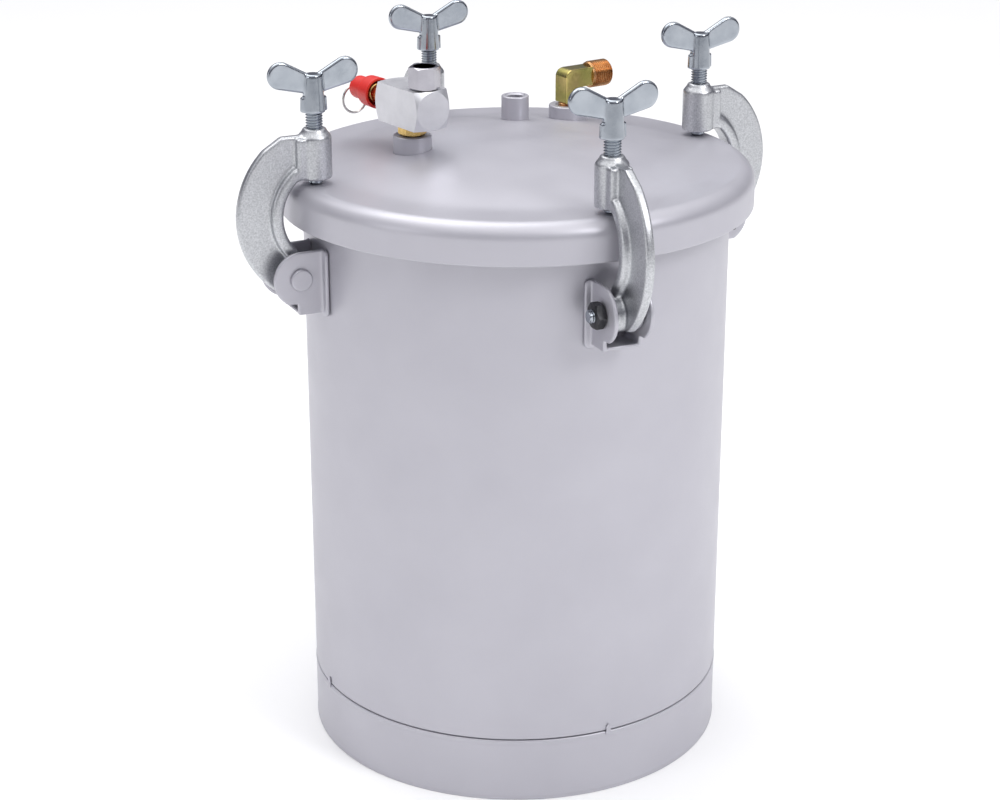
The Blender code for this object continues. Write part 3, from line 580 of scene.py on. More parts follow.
def lathed_prism(
    sides: int, across: float, low: float, high: float, face: float,
    bore: float = 0.0, slope: float = 30.0, per_side: int = 14,
) -> Shape:
    """Prism along Z whose ends are chamfered on a lathe, as on a nut or a drilled bar.

    Args:
        sides: Number of its sides.
        across: Its size across flats.
        low: Height of its lower end.
        high: Height of its upper end.
        face: Radius of the flat face that the chamfers leave.
        bore: Radius of a hole along its axis, or 0.
        slope: Angle of the chamfers from the end's plane, in degrees.
        per_side: Facets along one side.

    Returns:
        The prism, with a corner on +X.
    """
    shape = Shape()
    count = sides * per_side
    fall = math.tan(math.radians(slope))
    inner = bore if bore > 0 else face * 0.5
    rows = [(inner, 0.0, low), (face, 0.0, low), (0.0, 1.0, low), (0.0, -1.0, high),
            (face, 0.0, high), (inner, 0.0, high)]
    rings = []
    for radius, lift, height in rows:
        circle = bmesh.ops.create_circle(shape.bm, segments=count, radius=1.0)["verts"]
        for i, vert in enumerate(circle):
            angle = FULL_TURN * i / count
            side = prism_reach(sides, across, angle)
            reach = radius or side
            drop = lift * max(0.0, side - face) * fall
            vert.co = (reach * math.cos(angle), reach * math.sin(angle), height + drop)
        rings.append([e for e in shape.bm.edges if e.verts[0] in circle and e.verts[1] in circle])
    pairs = list(zip(rings, rings[1:])) + ([(rings[-1], rings[0])] if bore > 0 else [])
    for first, second in pairs:
        bmesh.ops.bridge_loops(shape.bm, edges=first + second)
    if bore <= 0:
        bmesh.ops.holes_fill(shape.bm, edges=rings[0] + rings[-1], sides=0)
    return shape


def threaded(
    major: float, minor: float, pitch: float, low: float, high: float, steps: int = 36
) -> Shape:
    """Rod with an outside thread along Z and a lead-in at both ends.

    Args:
        major: Radius over the crests.
        minor: Radius at the roots.
        pitch: Distance between crests.
        low: Height of its lower end.
        high: Height of its upper end.
        steps: Facets around.

    Returns:
        The rod.
    """
    shape = Shape()
    start = low - 1.5 * pitch
    turns = math.ceil((high - low) / pitch) + 3
    section = [(minor, 0.0), (minor, 0.12), (major, 0.46), (major, 0.58), (minor, 0.92), (minor, 1.0)]
    verts = [shape.bm.verts.new((radius, 0.0, start + share * pitch)) for radius, share in section]
    edges = [shape.bm.edges.new(pair) for pair in zip(verts, verts[1:])]
    bmesh.ops.spin(
        shape.bm, geom=verts + edges, cent=(0, 0, 0), axis=(0, 0, 1), dvec=(0, 0, pitch / steps),
        angle=FULL_TURN * turns, steps=steps * turns, use_merge=False,
    )
    bmesh.ops.remove_doubles(shape.bm, verts=shape.bm.verts, dist=0.002 * MM)
    for height, way in ((low, -1.0), (high, 1.0)):
        bmesh.ops.bisect_plane(
            shape.bm, geom=shape.bm.verts[:] + shape.bm.edges[:] + shape.bm.faces[:],
            plane_co=(0, 0, height), plane_no=(0, 0, way), clear_outer=True,
        )
        rim = [e for e in shape.bm.edges if e.is_boundary and abs(e.verts[0].co.z - height) < 1e-6
               and abs(e.verts[1].co.z - height) < 1e-6]
        bmesh.ops.edgeloop_fill(shape.bm, edges=rim)
    lead = major - minor
    for vert in shape.bm.verts:
        inset = min(vert.co.z - low, high - vert.co.z)
        limit = minor - 0.2 * lead + max(0.0, inset)
        radius = math.hypot(vert.co.x, vert.co.y)
        if radius > limit:
            vert.co.x *= limit / radius
            vert.co.y *= limit / radius
    return shape


def hoop(radius: float, wire: float, steps: int = 96, around: int = 20) -> Shape:
    """Closed ring of round wire in the XY plane.

    Args:
        radius: Radius of the wire's centreline.
        wire: Radius of the wire.
        steps: Facets along the ring.
        around: Facets around the wire.

    Returns:
        The ring.
    """
    section = arc((radius, 0.0), wire, 0, 360, around)[:-1]
    return turned(section, steps, closed=True)


def shift(x: float, y: float, z: float) -> Matrix:
    """Return a move along the three axes."""
    return Matrix.Translation((x, y, z))


def spin(angle: float, axis: str) -> Matrix:
    """Return a turn about one axis, its angle in radians."""
    return Matrix.Rotation(angle, 4, axis)


UPRIGHT = spin(QUARTER_TURN, "X")


# ---------------------------------------------------------------------------
# Pieces
# ---------------------------------------------------------------------------


def add_piece(
    shape: Shape, name: str, body: str, finish: Finish, stands_for: Iterable[str] = (),
    sharp: float = 40.0, weighted: bool = True,
) -> bpy.types.Object:
    """Turn a shape into a finished piece that rides on a body.

    Args:
        shape: The shape; it is used up.
        name: The piece's name.
        body: The body that it moves with.
        finish: Its finish.
        stands_for: Nodes of the frame that it replaces.
        sharp: Edges that turn by more than this many degrees stay sharp.
        weighted: Whether large faces are kept flat between rounded edges.

    Returns:
        The piece.
    """
    mesh = shape.mesh(name)
    mesh.shade_smooth()
    mesh.set_sharp_from_angle(angle=math.radians(sharp))
    mesh.materials.append(finish.material())
    item = bpy.data.objects.new(name, mesh)
    bpy.context.scene.collection.objects.link(item)
    if weighted:
        flat = item.modifiers.new("flat_faces", "WEIGHTED_NORMAL")
        flat.keep_sharp = True
    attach(item, body)
    nodes = list(stands_for)
    if nodes:
        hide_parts(*nodes)
    LOG.info("%s: %d faces on %s", name, len(mesh.polygons), body)
    return item


def dress(node: str, finish: Finish) -> None:
    """Give a node of the frame its finish.

    Args:
        node: The node's name.
        finish: The finish.
    """
    item = frame["nodes"][node]
    item.data.materials.clear()
    item.data.materials.append(finish.material())
    LOG.info("%s dressed in %s", node, finish.name)


def joint(name: str) -> dict:
    """Return the frame's joint of that name."""
    return next(entry for entry in frame["joints"] if entry["name"] == name)


def centre(node: str) -> Vector:
    """Return the middle of a node's box."""
    low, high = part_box(node)
    return (low + high) / 2


@dataclass
class Tank:
    """Painted steel tank: wall with its rim bead, dished bottom and base skirt."""

    steps: int = 192
    wall: float = 2.0 * MM
    bead_depth: float = 8.5 * MM
    skirt_sheet: float = 1.5 * MM
    neck_step: float = 2.1 * MM
    tongue: tuple[float, float, float] = (3.0 * MM, 5.0 * MM, 0.8 * MM)
    rim_radius: float = field(init=False)
    top: float = field(init=False)
    radius: float = field(init=False)

    def __post_init__(self) -> None:
        """Take the rim's radius and height from the frame."""
        _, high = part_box("tank_shell")
        self.rim_radius = high.x
        self.top = high.z
        self.radius = self.rim_radius - 5.0 * MM

    def build(self) -> None:
        """Build the tank's three pieces."""
        self.build_wall()
        self.build_bottom()
        self.build_skirt()

    def build_wall(self) -> None:
        """Wall that necks in behind the skirt, with a rolled bead at its rim."""
        low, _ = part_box("tank_shell")
        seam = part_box("tank_bottom")[1].z + 1.3 * MM
        outer, inner = self.radius, self.radius - self.wall
        neck, bead, top = outer - self.neck_step + 0.6 * MM, self.rim_radius, self.top
        profile = rounded([
            (bead, top, 1.6 * MM), (bead, top - self.bead_depth * 0.6, 2.0 * MM),
            (outer, top - self.bead_depth, 3.0 * MM), (outer, seam + 0.6 * MM, 0.4 * MM),
            (neck, seam, 0.3 * MM), (neck, low.z, 0.4 * MM), (neck - self.wall, low.z, 0.4 * MM),
            (neck - self.wall, seam), (inner, seam + 3 * MM, 1.0 * MM), (inner, top, 1.0 * MM),
        ])
        add_piece(turned(profile, self.steps, closed=True), "tank_wall", "tank", PAINT, ["tank_shell"])

    def build_bottom(self) -> None:
        """Pressed bottom with its straight flange up inside the wall."""
        low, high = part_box("tank_bottom")
        rim, flange = high.x, high.z - 6.0 * MM
        depth = flange - low.z
        shares = [i / 16 for i in range(16)]
        upper = [((rim - self.wall) * s, flange - depth * (1 - s * s) + self.wall) for s in shares]
        lower = [(rim * s, flange - depth * (1 - s * s)) for s in reversed(shares)]
        profile = upper + rounded([
            (rim - self.wall, flange + self.wall), (rim - self.wall, high.z, 0.6 * MM),
            (rim, high.z, 0.6 * MM), (rim, flange),
        ], closed=False) + lower
        add_piece(turned(profile, self.steps), "tank_dished_bottom", "tank", PAINT, ["tank_bottom"])

    def build_skirt(self) -> None:
        """Base skirt: a rolled lip along its top edge and four pointed tongues."""
        outer = self.radius + 0.3 * MM
        inner = outer - self.skirt_sheet
        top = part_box("tank_bottom")[1].z + 1.0 * MM
        skirt = turned(rounded([
            (outer, top, 0.75 * MM), (outer, top - 2.2 * MM, 1.4 * MM),
            (outer - 0.22 * MM, top - 3.4 * MM, 1.4 * MM),
            (outer - 0.22 * MM, 2.2 * MM, 1.0 * MM), (outer, 1.4 * MM, 0.5 * MM), (outer, 0.0, 0.6 * MM),
            (inner, 0.0, 0.5 * MM), (inner, top, 0.6 * MM),
        ]), self.steps, closed=True)
        width, height, thickness = self.tongue
        half = width / 2
        outline = rounded([
            (-half * 1.25, -1.6 * MM), (half * 1.25, -1.6 * MM), (half, 0.2 * MM, 0.6 * MM),
            (half, height - half * 1.15, 0.5 * MM), (0.0, height, 0.35 * MM),
            (-half, height - half * 1.15, 0.5 * MM),
            (-half, 0.2 * MM, 0.6 * MM),
        ])
        out = shift(self.radius + 0.2 * MM + thickness / 2, 0, top)
        stand = spin(QUARTER_TURN, "Z") @ UPRIGHT
        for quarter in range(4):
            around = spin(QUARTER_TURN * quarter, "Z")
            skirt.join(slab(outline, thickness, 0.25 * MM).moved(around @ out @ stand))
        add_piece(skirt, "base_skirt_rolled", "tank", PAINT, ["base_skirt"])


class Side(Enum):
    """The four clamp stations."""

    RIGHT = "right"
    REAR = "rear"
    LEFT = "left"
    FRONT = "front"

    @property
    def turn(self) -> Matrix:
        """Turn from +X to this station."""
        pivot = joint(self.named("swing"))["pos_m"]
        return spin(math.atan2(pivot[1], pivot[0]), "Z")

    def named(self, piece: str) -> str:
        """Return a piece's name at this station."""
        return f"{self.value}_{piece}"


@dataclass
class Lid:
    """Pressed lid: soft dome, flat annulus, turned-down edge, welded bosses and gasket."""

    steps: int = 224
    wall: float = 2.0 * MM
    rounding: float = 9.0 * MM
    crease_radius: float = 107.5 * MM
    crease_softness: float = 0.55 * MM
    rise: float = 11.0 * MM
    edge_radius: float = field(init=False)
    seat: float = field(init=False)
    edge_bottom: float = field(init=False)

    def __post_init__(self) -> None:
        """Take the lid's size from the frame."""
        low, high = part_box("lid_shell")
        self.edge_radius, self.seat, self.edge_bottom = high.x, high.z - self.rise, low.z

    def height(self, radius: float) -> float:
        """Height of the lid's face at a distance from its axis.

        Args:
            radius: The distance.

        Returns:
            The height, with a soft crease where the dome meets the annulus.
        """
        dome = self.rise * (1 - (radius / self.crease_radius) ** 2)
        soft = self.crease_softness
        lift = soft * math.log1p(math.exp(dome / soft)) if dome < 20 * soft else dome
        return self.seat + min(lift, self.rise)

    def build(self) -> None:
        """Build the lid, its bosses and its gasket."""
        shell = self.shell()
        for name in ("inlet_boss", "spare_boss", "outlet_boss"):
            low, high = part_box(name)
            at = centre(name)
            radius = (high.x - low.x) / 2 + 0.25 * MM
            start = low.z - 20 * MM
            drill = turned([(0, start), (radius, start), (radius, high.z), (0, high.z)], 64)
            shell = shell.cut(drill.moved(shift(at.x, at.y, 0)))
        add_piece(shell, "lid_pressing", "lid", PAINT, ["lid_shell"])
        self.boss("inlet_boss", 5.8 * MM, 0.0)
        self.boss("spare_boss", 5.0 * MM, 1.0 * MM)
        self.boss("outlet_boss", 6.3 * MM, 0.9 * MM)
        dress("lid_gasket", RUBBER)

    def shell(self) -> Shape:
        """Turn the pressing.

        Returns:
            The pressing without its holes.
        """
        flat_end = self.edge_radius - self.rounding
        dome = [self.crease_radius * 0.94 * i / 26 for i in range(27)]
        crease = [dome[-1] + (flat_end - dome[-1]) * i / 14 for i in range(1, 14)]
        top = [(r, self.height(r)) for r in dome + crease]
        corner = (flat_end, self.seat - self.rounding)
        outside = arc(corner, self.rounding, 90, 0, 16)
        edge, bottom, wall = self.edge_radius, self.edge_bottom, self.wall
        lip_top = self.seat - self.rounding - 1 * MM
        lip = rounded([
            (edge, lip_top), (edge, bottom, 0.9 * MM), (edge - wall, bottom, 0.8 * MM),
            (edge - wall, lip_top),
        ], closed=False)
        inside = arc(corner, self.rounding - wall, 0, 90, 8)
        under = [(r, z - wall) for r, z in reversed(top)]
        return turned(top + outside + lip + inside + under, self.steps)

    def boss(self, name: str, bore: float, fillet: float) -> None:
        """Build one welded boss with a tapped bore.

        Args:
            name: Its node in the frame.
            bore: Radius of its bore.
            fillet: Size of the weld's fillet where it leaves the lid.
        """
        low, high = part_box(name)
        at = centre(name)
        radius = (high.x - low.x) / 2
        face = self.height(math.hypot(at.x, at.y))
        pitch, depth = 1.4 * MM, 0.45 * MM
        teeth = int((high.z - 1.6 * MM - low.z) / pitch)
        inner: list[Point] = []
        for i in range(teeth):
            z = low.z + 0.4 * MM + i * pitch
            inner += [(bore, z), (bore + depth, z + 0.45 * pitch), (bore + depth, z + 0.55 * pitch)]
        ring = rounded([
            (bore + 1.0 * MM, high.z, 0.3 * MM), (radius, high.z, 0.9 * MM), (radius, face + 2 * MM),
            (radius, face + fillet * 0.6), (radius + fillet * 0.25, face - 0.5 * MM), (radius, low.z),
            (bore, low.z),
        ])
        profile = ring + inner + [(bore, high.z - 1.0 * MM)]
        shape = turned(profile, 72, closed=True).moved(shift(at.x, at.y, 0))
        add_piece(shape, name + "_tapped", "lid", PAINT, [name], sharp=30.0)


@dataclass
class Clamp:
    """Swing clamp: bracket, pin, nut, C-shaped arm, thrust tip, threaded spindle and wing handle."""

    sheet: float = 2.3 * MM
    bracket_half: float = 9.2 * MM
    nose: float = 15.5 * MM
    drop: float = 20.5 * MM
    step_drop: float = 13.9 * MM
    floor_reach: float = 2.0 * MM
    web: float = 5.0 * MM
    rib: float = 13.0 * MM
    rib_depth: float = 7.0 * MM
    web_depth: float = 18.4 * MM
    knuckle: float = 10.0 * MM
    boss_radius: float = 9.25 * MM
    thread_radius: float = 4.7 * MM
    pitch: float = 1.5 * MM
    wing_thickness: float = 3.2 * MM
    wing_rise: float = 7.8 * MM
    boss_height: float = 28.0 * MM
    pin_radius: float = 3.7 * MM
    pin_play: float = 0.3 * MM
    nut_across: float = 13.0 * MM
    nut_thickness: float = 5.5 * MM
    pivot: Vector = field(init=False)
    screw_x: float = field(init=False)
    boss_top: float = field(init=False)
    boss_bottom: float = field(init=False)
    across: Matrix = field(init=False)
    at_screw: Matrix = field(init=False)

    def __post_init__(self) -> None:
        """Take the clamp's axes and heights from the frame's left clamp, which points along -X."""
        x, _, z = joint("left_swing")["pos_m"]
        self.pivot = Vector((-x, 0, z))
        self.screw_x = -joint("left_screw_turn")["pos_m"][0]
        self.boss_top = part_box("left_arm")[1].z
        self.boss_bottom = self.boss_top - self.boss_height
        self.across = Matrix.Translation(self.pivot) @ spin(-QUARTER_TURN, "X")
        self.at_screw = shift(self.screw_x, 0, 0)

    def build(self) -> None:
        """Model each piece once and place a copy at every station."""
        shapes = {
            "bracket": (self.bracket(), "tank", PAINT, "bracket", False),
            "pin_head": (self.pin_head(), "tank", PAINT, "pin", True),
            "pin_thread": (self.pin_thread(), "tank", BRIGHT_ZINC, "pin", True),
            "nut": (self.nut(), "tank", BLACK_STEEL, "nut", True),
            "arm": (self.arm(), "clamp", CAST_ZINC, "arm", False),
            "thrust_tip": (self.tip(), "tip", BRIGHT_ZINC, "thrust_tip", True),
            "spindle": (self.spindle(), "screw", BRIGHT_ZINC, "spindle", True),
        }
        handle = self.handle()
        for side in Side:
            for kind, (shape, body, finish, node, weighted) in shapes.items():
                rider = body if body == "tank" else side.named(body)
                add_piece(shape.copy().moved(side.turn), side.named(kind) + "_fine", rider, finish,
                          [side.named(node)], weighted=weighted, sharp=40.0 if weighted else 60.0)
            where = Matrix.Translation(side.turn @ self.at_screw.translation)
            add_piece(handle.copy().moved(where), side.named("wing_handle") + "_fine", side.named("screw"),
                      BRIGHT_ZINC, [side.named("wing_handle")], weighted=False, sharp=60.0)

    def bracket(self) -> Shape:
        """Folded hat section: two ears, a floor and two flanges that follow the wall.

        Returns:
            The bracket at the +X station.
        """
        pivot_x, pivot_z = self.pivot.x, self.pivot.z
        box_low, box_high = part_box("left_bracket")
        back = math.hypot(box_high.x, box_high.y)
        floor, top = pivot_z - self.drop, pivot_z + self.nose
        front, step = pivot_x + self.floor_reach, pivot_z - self.step_drop
        end = -math.degrees(math.asin(self.step_drop / self.nose))
        nose = arc((pivot_x, pivot_z), self.nose, end, 90, 22)
        lead = [(back, floor), (front, floor, 1.2 * MM), (front, step, 1.0 * MM)]
        ear = rounded([*lead, *nose, (back, top)])
        low, high = -self.bracket_half, self.bracket_half
        shape = brick((back + 0.3 * MM, low - self.sheet / 2, floor + 0.2 * MM),
                      (front - 0.4 * MM, high + self.sheet / 2, floor + self.sheet), 0.6 * MM)
        outer = box_high.y - 0.3 * MM
        for way in (-1, 1):
            offset = way * (self.bracket_half + self.sheet / 2)
            shape.join(slab(ear, self.sheet, 0.5 * MM).moved(shift(0, offset, 0) @ UPRIGHT))
            plate = rounded([
                (self.bracket_half + 0.3 * MM, box_low.z), (outer, box_low.z, 4.0 * MM),
                (outer, box_high.z, 5.5 * MM), (self.bracket_half + 0.3 * MM, box_high.z),
            ])
            standing = shift(back + self.sheet / 2, 0, 0)
            standing = standing @ spin(QUARTER_TURN, "Z")
            mirror = Matrix.Diagonal((1, way, 1, 1))
            shape.join(slab(plate, self.sheet, 0.5 * MM).moved(mirror @ standing @ UPRIGHT))
        cast = shape.cast(0.52 * MM, 5)
        for vert in cast.bm.verts:
            sag = back - math.sqrt(back ** 2 - vert.co.y ** 2)
            reach = min(1.0, max(0.0, (back + 9 * MM - vert.co.x) / (5 * MM)))
            vert.co.x -= sag * reach
        return cast

    def pin_head(self) -> Shape:
        """Low round head and the shank of the pin.

        Returns:
            The painted end of the pin.
        """
        outer = self.bracket_half + self.sheet + self.pin_play
        head = outer + 2.0 * MM
        return turned(rounded([
            (0, head), (6.2 * MM, head, 1.1 * MM), (6.2 * MM, outer, 0.2 * MM),
            (self.pin_radius, outer), (self.pin_radius, -outer), (0, -outer),
        ], closed=False), 64).moved(self.across)

    def pin_thread(self) -> Shape:
        """Threaded tail of the pin.

        Returns:
            The bare end of the pin.
        """
        outer = self.bracket_half + self.sheet
        tail = outer + self.pin_play + self.nut_thickness + 2.6 * MM
        root = self.pin_radius - 0.55 * MM
        return threaded(self.pin_radius, root, 1.25 * MM, -tail, 0.6 * MM - outer).moved(self.across)

    def nut(self) -> Shape:
        """Hexagon nut with both faces chamfered.

        Returns:
            The nut at the +X station.
        """
        near = self.bracket_half + self.sheet + self.pin_play
        far = near + self.nut_thickness
        nut = lathed_prism(6, self.nut_across, -far, -near, 6.2 * MM, bore=3.75 * MM)
        return nut.moved(self.across)

    def arm(self) -> Shape:
        """C-shaped casting: thin web, thick inner rib, knuckle and boss run into each other.

        Returns:
            The arm at the +X station.
        """
        middle = (self.screw_x - 5.5 * MM, self.boss_bottom - 19.7 * MM)
        outer = -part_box("left_arm")[0].x - middle[0] - 0.1 * MM
        rib_outer = outer - self.web_depth
        inner = rib_outer - self.rib_depth
        pivot = (self.pivot.x, self.pivot.z)
        shoulder, web_top = self.boss_top - 4.6 * MM, self.boss_top - 3.3 * MM
        root = self.screw_x + 0.6 * self.boss_radius
        heel = (pivot[0] + 0.4 * self.knuckle, pivot[1] + 0.8 * self.knuckle)
        foot = (pivot[0] - 0.6 * self.knuckle, pivot[1] + 0.6 * self.knuckle)
        toe = (pivot[0] + 0.25 * self.knuckle, pivot[1] - 0.85 * self.knuckle)
        web = slab(
            [(root, self.boss_bottom + 3 * MM)] + arc(middle, inner + 2 * MM, 46, -38, 14) + [pivot, toe]
            + arc(middle, outer, -52, 47, 34)
            + [(self.screw_x + 2.1 * self.boss_radius, web_top), (root, web_top)], self.web, 0.9 * MM)
        rib = slab(
            [(root, self.boss_bottom + 1.0 * MM)] + arc(middle, inner, 48, -43, 22) + [foot, heel]
            + arc(middle, rib_outer, -42, 54, 22) + [(root, self.boss_bottom + 1.0 * MM + self.rib_depth)],
            self.rib, 2.2 * MM, 4)
        pad = brick((self.screw_x, -self.rib / 2, self.boss_bottom + 0.6 * MM),
                    (self.screw_x + 12.4 * MM, self.rib / 2, shoulder + 0.3 * MM), 1.4 * MM)
        half = self.bracket_half - 0.5 * MM
        knuckle = turned(rounded([
            (0, half), (self.knuckle, half, 1.0 * MM), (self.knuckle, -half, 1.0 * MM), (0, -half),
        ], closed=False), 64).moved(self.across)
        boss = turned(rounded([
            (0, self.boss_top), (6.5 * MM, self.boss_top, 0.7 * MM),
            (6.6 * MM, self.boss_top - 1.3 * MM, 0.8 * MM), (self.boss_radius, shoulder, 1.2 * MM),
            (self.boss_radius, self.boss_bottom, 1.2 * MM), (0, self.boss_bottom),
        ], closed=False), 80).moved(self.at_screw)
        blank = web.moved(UPRIGHT).join(rib.moved(UPRIGHT), pad, knuckle, boss)
        return blank.cast(0.58 * MM, 6)

    def tip(self) -> Shape:
        """Thrust tip with a rounded foot.

        Returns:
            The tip at the +X station.
        """
        low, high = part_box("left_thrust_tip")
        radius = (high.y - low.y) / 2
        return turned(rounded([
            (0, low.z), (radius, low.z, 1.0 * MM), (radius, high.z, 0.4 * MM), (2.7 * MM, high.z),
            (2.7 * MM, high.z - 3.4 * MM), (0, high.z - 3.4 * MM),
        ], closed=False), 56).moved(self.at_screw)

    def spindle(self) -> Shape:
        """Threaded spindle with its neck in the tip.

        Returns:
            The spindle at the +X station.
        """
        low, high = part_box("left_spindle")
        tip_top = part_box("left_thrust_tip")[1].z
        neck_top = tip_top + 1.5 * MM
        neck = turned([(0, low.z), (2.4 * MM, low.z), (2.4 * MM, neck_top), (0, neck_top)], 40)
        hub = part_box("left_wing_handle")[0].z
        thread = threaded(self.thread_radius, self.thread_radius - 0.85 * MM, self.pitch,
                          tip_top + 0.3 * MM, hub + 2.0 * MM)
        shank = turned([(0, hub), (4.0 * MM, hub), (4.0 * MM, high.z), (0, high.z)], 40)
        return neck.join(thread, shank).moved(self.at_screw)

    def handle(self) -> Shape:
        """Wing handle: tapered hub, side fins and two rising wings with rounded rims.

        Returns:
            The handle about its own axis.
        """
        low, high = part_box("left_wing_handle")
        lobe = 7.5 * MM
        reach = (high.x - low.x) / 2 - lobe
        lobe_z = high.z - lobe
        hub_top = high.z - self.wing_rise
        root_top, root_bottom = hub_top - 1.2 * MM, hub_top - 11.6 * MM
        right = arc((reach, lobe_z), lobe, -76, 118, 20)
        left = [(-x, z) for x, z in reversed(right)]
        outline = [(0, root_bottom), *right, (0, root_top), *left]
        wings = slab(outline, self.wing_thickness, 1.15 * MM, 4).moved(UPRIGHT)
        hub = turned(rounded([
            (0, hub_top), (5.0 * MM, hub_top, 1.3 * MM), (6.35 * MM, low.z, 0.6 * MM), (0, low.z),
        ], closed=False), 72)
        fins = slab(rounded([
            (-7.6 * MM, low.z + 0.4 * MM), (7.6 * MM, low.z + 0.4 * MM),
            (7.2 * MM, low.z + 8.6 * MM, 0.6 * MM), (-7.2 * MM, low.z + 8.6 * MM, 0.6 * MM),
        ]), 3.0 * MM, 0.4 * MM).moved(UPRIGHT)
        return wings.join(hub, fins).cast(0.40 * MM, 4)


@dataclass
class Inlet:
    """Brass nipple, aluminium block and the chromed nut with its brass insert."""

    length: float = 42.0 * MM
    nut_across: float = 15.6 * MM
    nut_bore: float = 6.2 * MM
    insert_radius: float = 5.9 * MM
    outward: Vector = field(init=False)
    block: Vector = field(init=False)
    seat: Matrix = field(init=False)

    def __post_init__(self) -> None:
        """Take the block's place and heading from the frame."""
        self.outward = Vector(joint("relief_pull")["axis"])
        self.block = centre("manifold_block")
        heading = math.atan2(-self.outward.y, -self.outward.x)
        self.seat = shift(self.block.x, self.block.y, 0) @ spin(heading, "Z")

    def build(self) -> None:
        """Build the inlet's four pieces."""
        self.build_nipple()
        self.build_block()
        self.build_nut()
        self.build_insert()

    def build_nipple(self) -> None:
        """Hexagon nipple with a thread into the boss and one into the block."""
        low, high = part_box("inlet_nipple")
        boss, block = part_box("inlet_boss")[1].z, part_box("manifold_block")[0].z
        shape = lathed_prism(6, 14.0 * MM, boss + 0.3 * MM, block - 0.3 * MM, 6.7 * MM, bore=3.0 * MM)
        shape.join(threaded(5.6 * MM, 4.9 * MM, 1.4 * MM, low.z, boss + 0.8 * MM),
                   threaded(5.6 * MM, 4.9 * MM, 1.4 * MM, block - 0.8 * MM, high.z))
        add_piece(shape.moved(self.seat), "inlet_nipple_threaded", "lid", BRASS, ["inlet_nipple"])

    def build_block(self) -> None:
        """Square bar whose ends are chamfered on a lathe."""
        half = self.length / 2
        low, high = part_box("manifold_block")
        bar = lathed_prism(4, high.z - low.z, -half, half, 10.6 * MM, slope=33.0, per_side=20)
        level = shift(0, 0, self.block.z) @ spin(QUARTER_TURN, "Y")
        square = spin(QUARTER_TURN / 2, "Z")
        soft = bar.moved(self.seat @ level @ square)
        add_piece(soft, "manifold_block_lathed", "lid", ALUMINIUM, ["manifold_block"], sharp=22.0)

    def build_nut(self) -> None:
        """Chromed hexagon nut with an open top."""
        low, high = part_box("inlet_nut")
        at = centre("inlet_nut")
        nut = lathed_prism(6, self.nut_across, low.z, high.z, 7.4 * MM, bore=self.nut_bore, slope=28.0)
        heading = spin(math.atan2(-self.outward.y, -self.outward.x) + math.radians(4), "Z")
        add_piece(nut.moved(shift(at.x, at.y, 0) @ heading), "inlet_nut_chromed", "lid",
                  CHROME, ["inlet_nut"], sharp=25.0)

    def build_insert(self) -> None:
        """Brass insert: tapped socket above a narrow passage."""
        low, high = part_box("inlet_insert")
        at = centre("inlet_insert")
        nut_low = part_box("inlet_nut")[0].z
        radius, socket, pitch, teeth = self.insert_radius, 4.8 * MM, 1.1 * MM, 6
        floor = high.z - 1.2 * MM - teeth * pitch
        inner: list[Point] = []
        for i in range(teeth):
            z = floor + i * pitch
            inner += [(socket - 0.45 * MM, z), (socket, z + 0.5 * pitch)]
        profile = rounded([
            (5.1 * MM, high.z), (radius, high.z, 0.4 * MM), (radius, nut_low), (4.6 * MM, nut_low),
            (4.6 * MM, low.z), (3.0 * MM, low.z), (3.0 * MM, floor - 1.5 * MM),
        ], closed=False) + inner + [(socket - 0.45 * MM, high.z - 1.2 * MM)]
        shape = turned(profile, 64, closed=True).moved(shift(at.x, at.y, 0))
        add_piece(shape, "inlet_insert_tapped", "lid", BRASS, ["inlet_insert"], sharp=30.0)


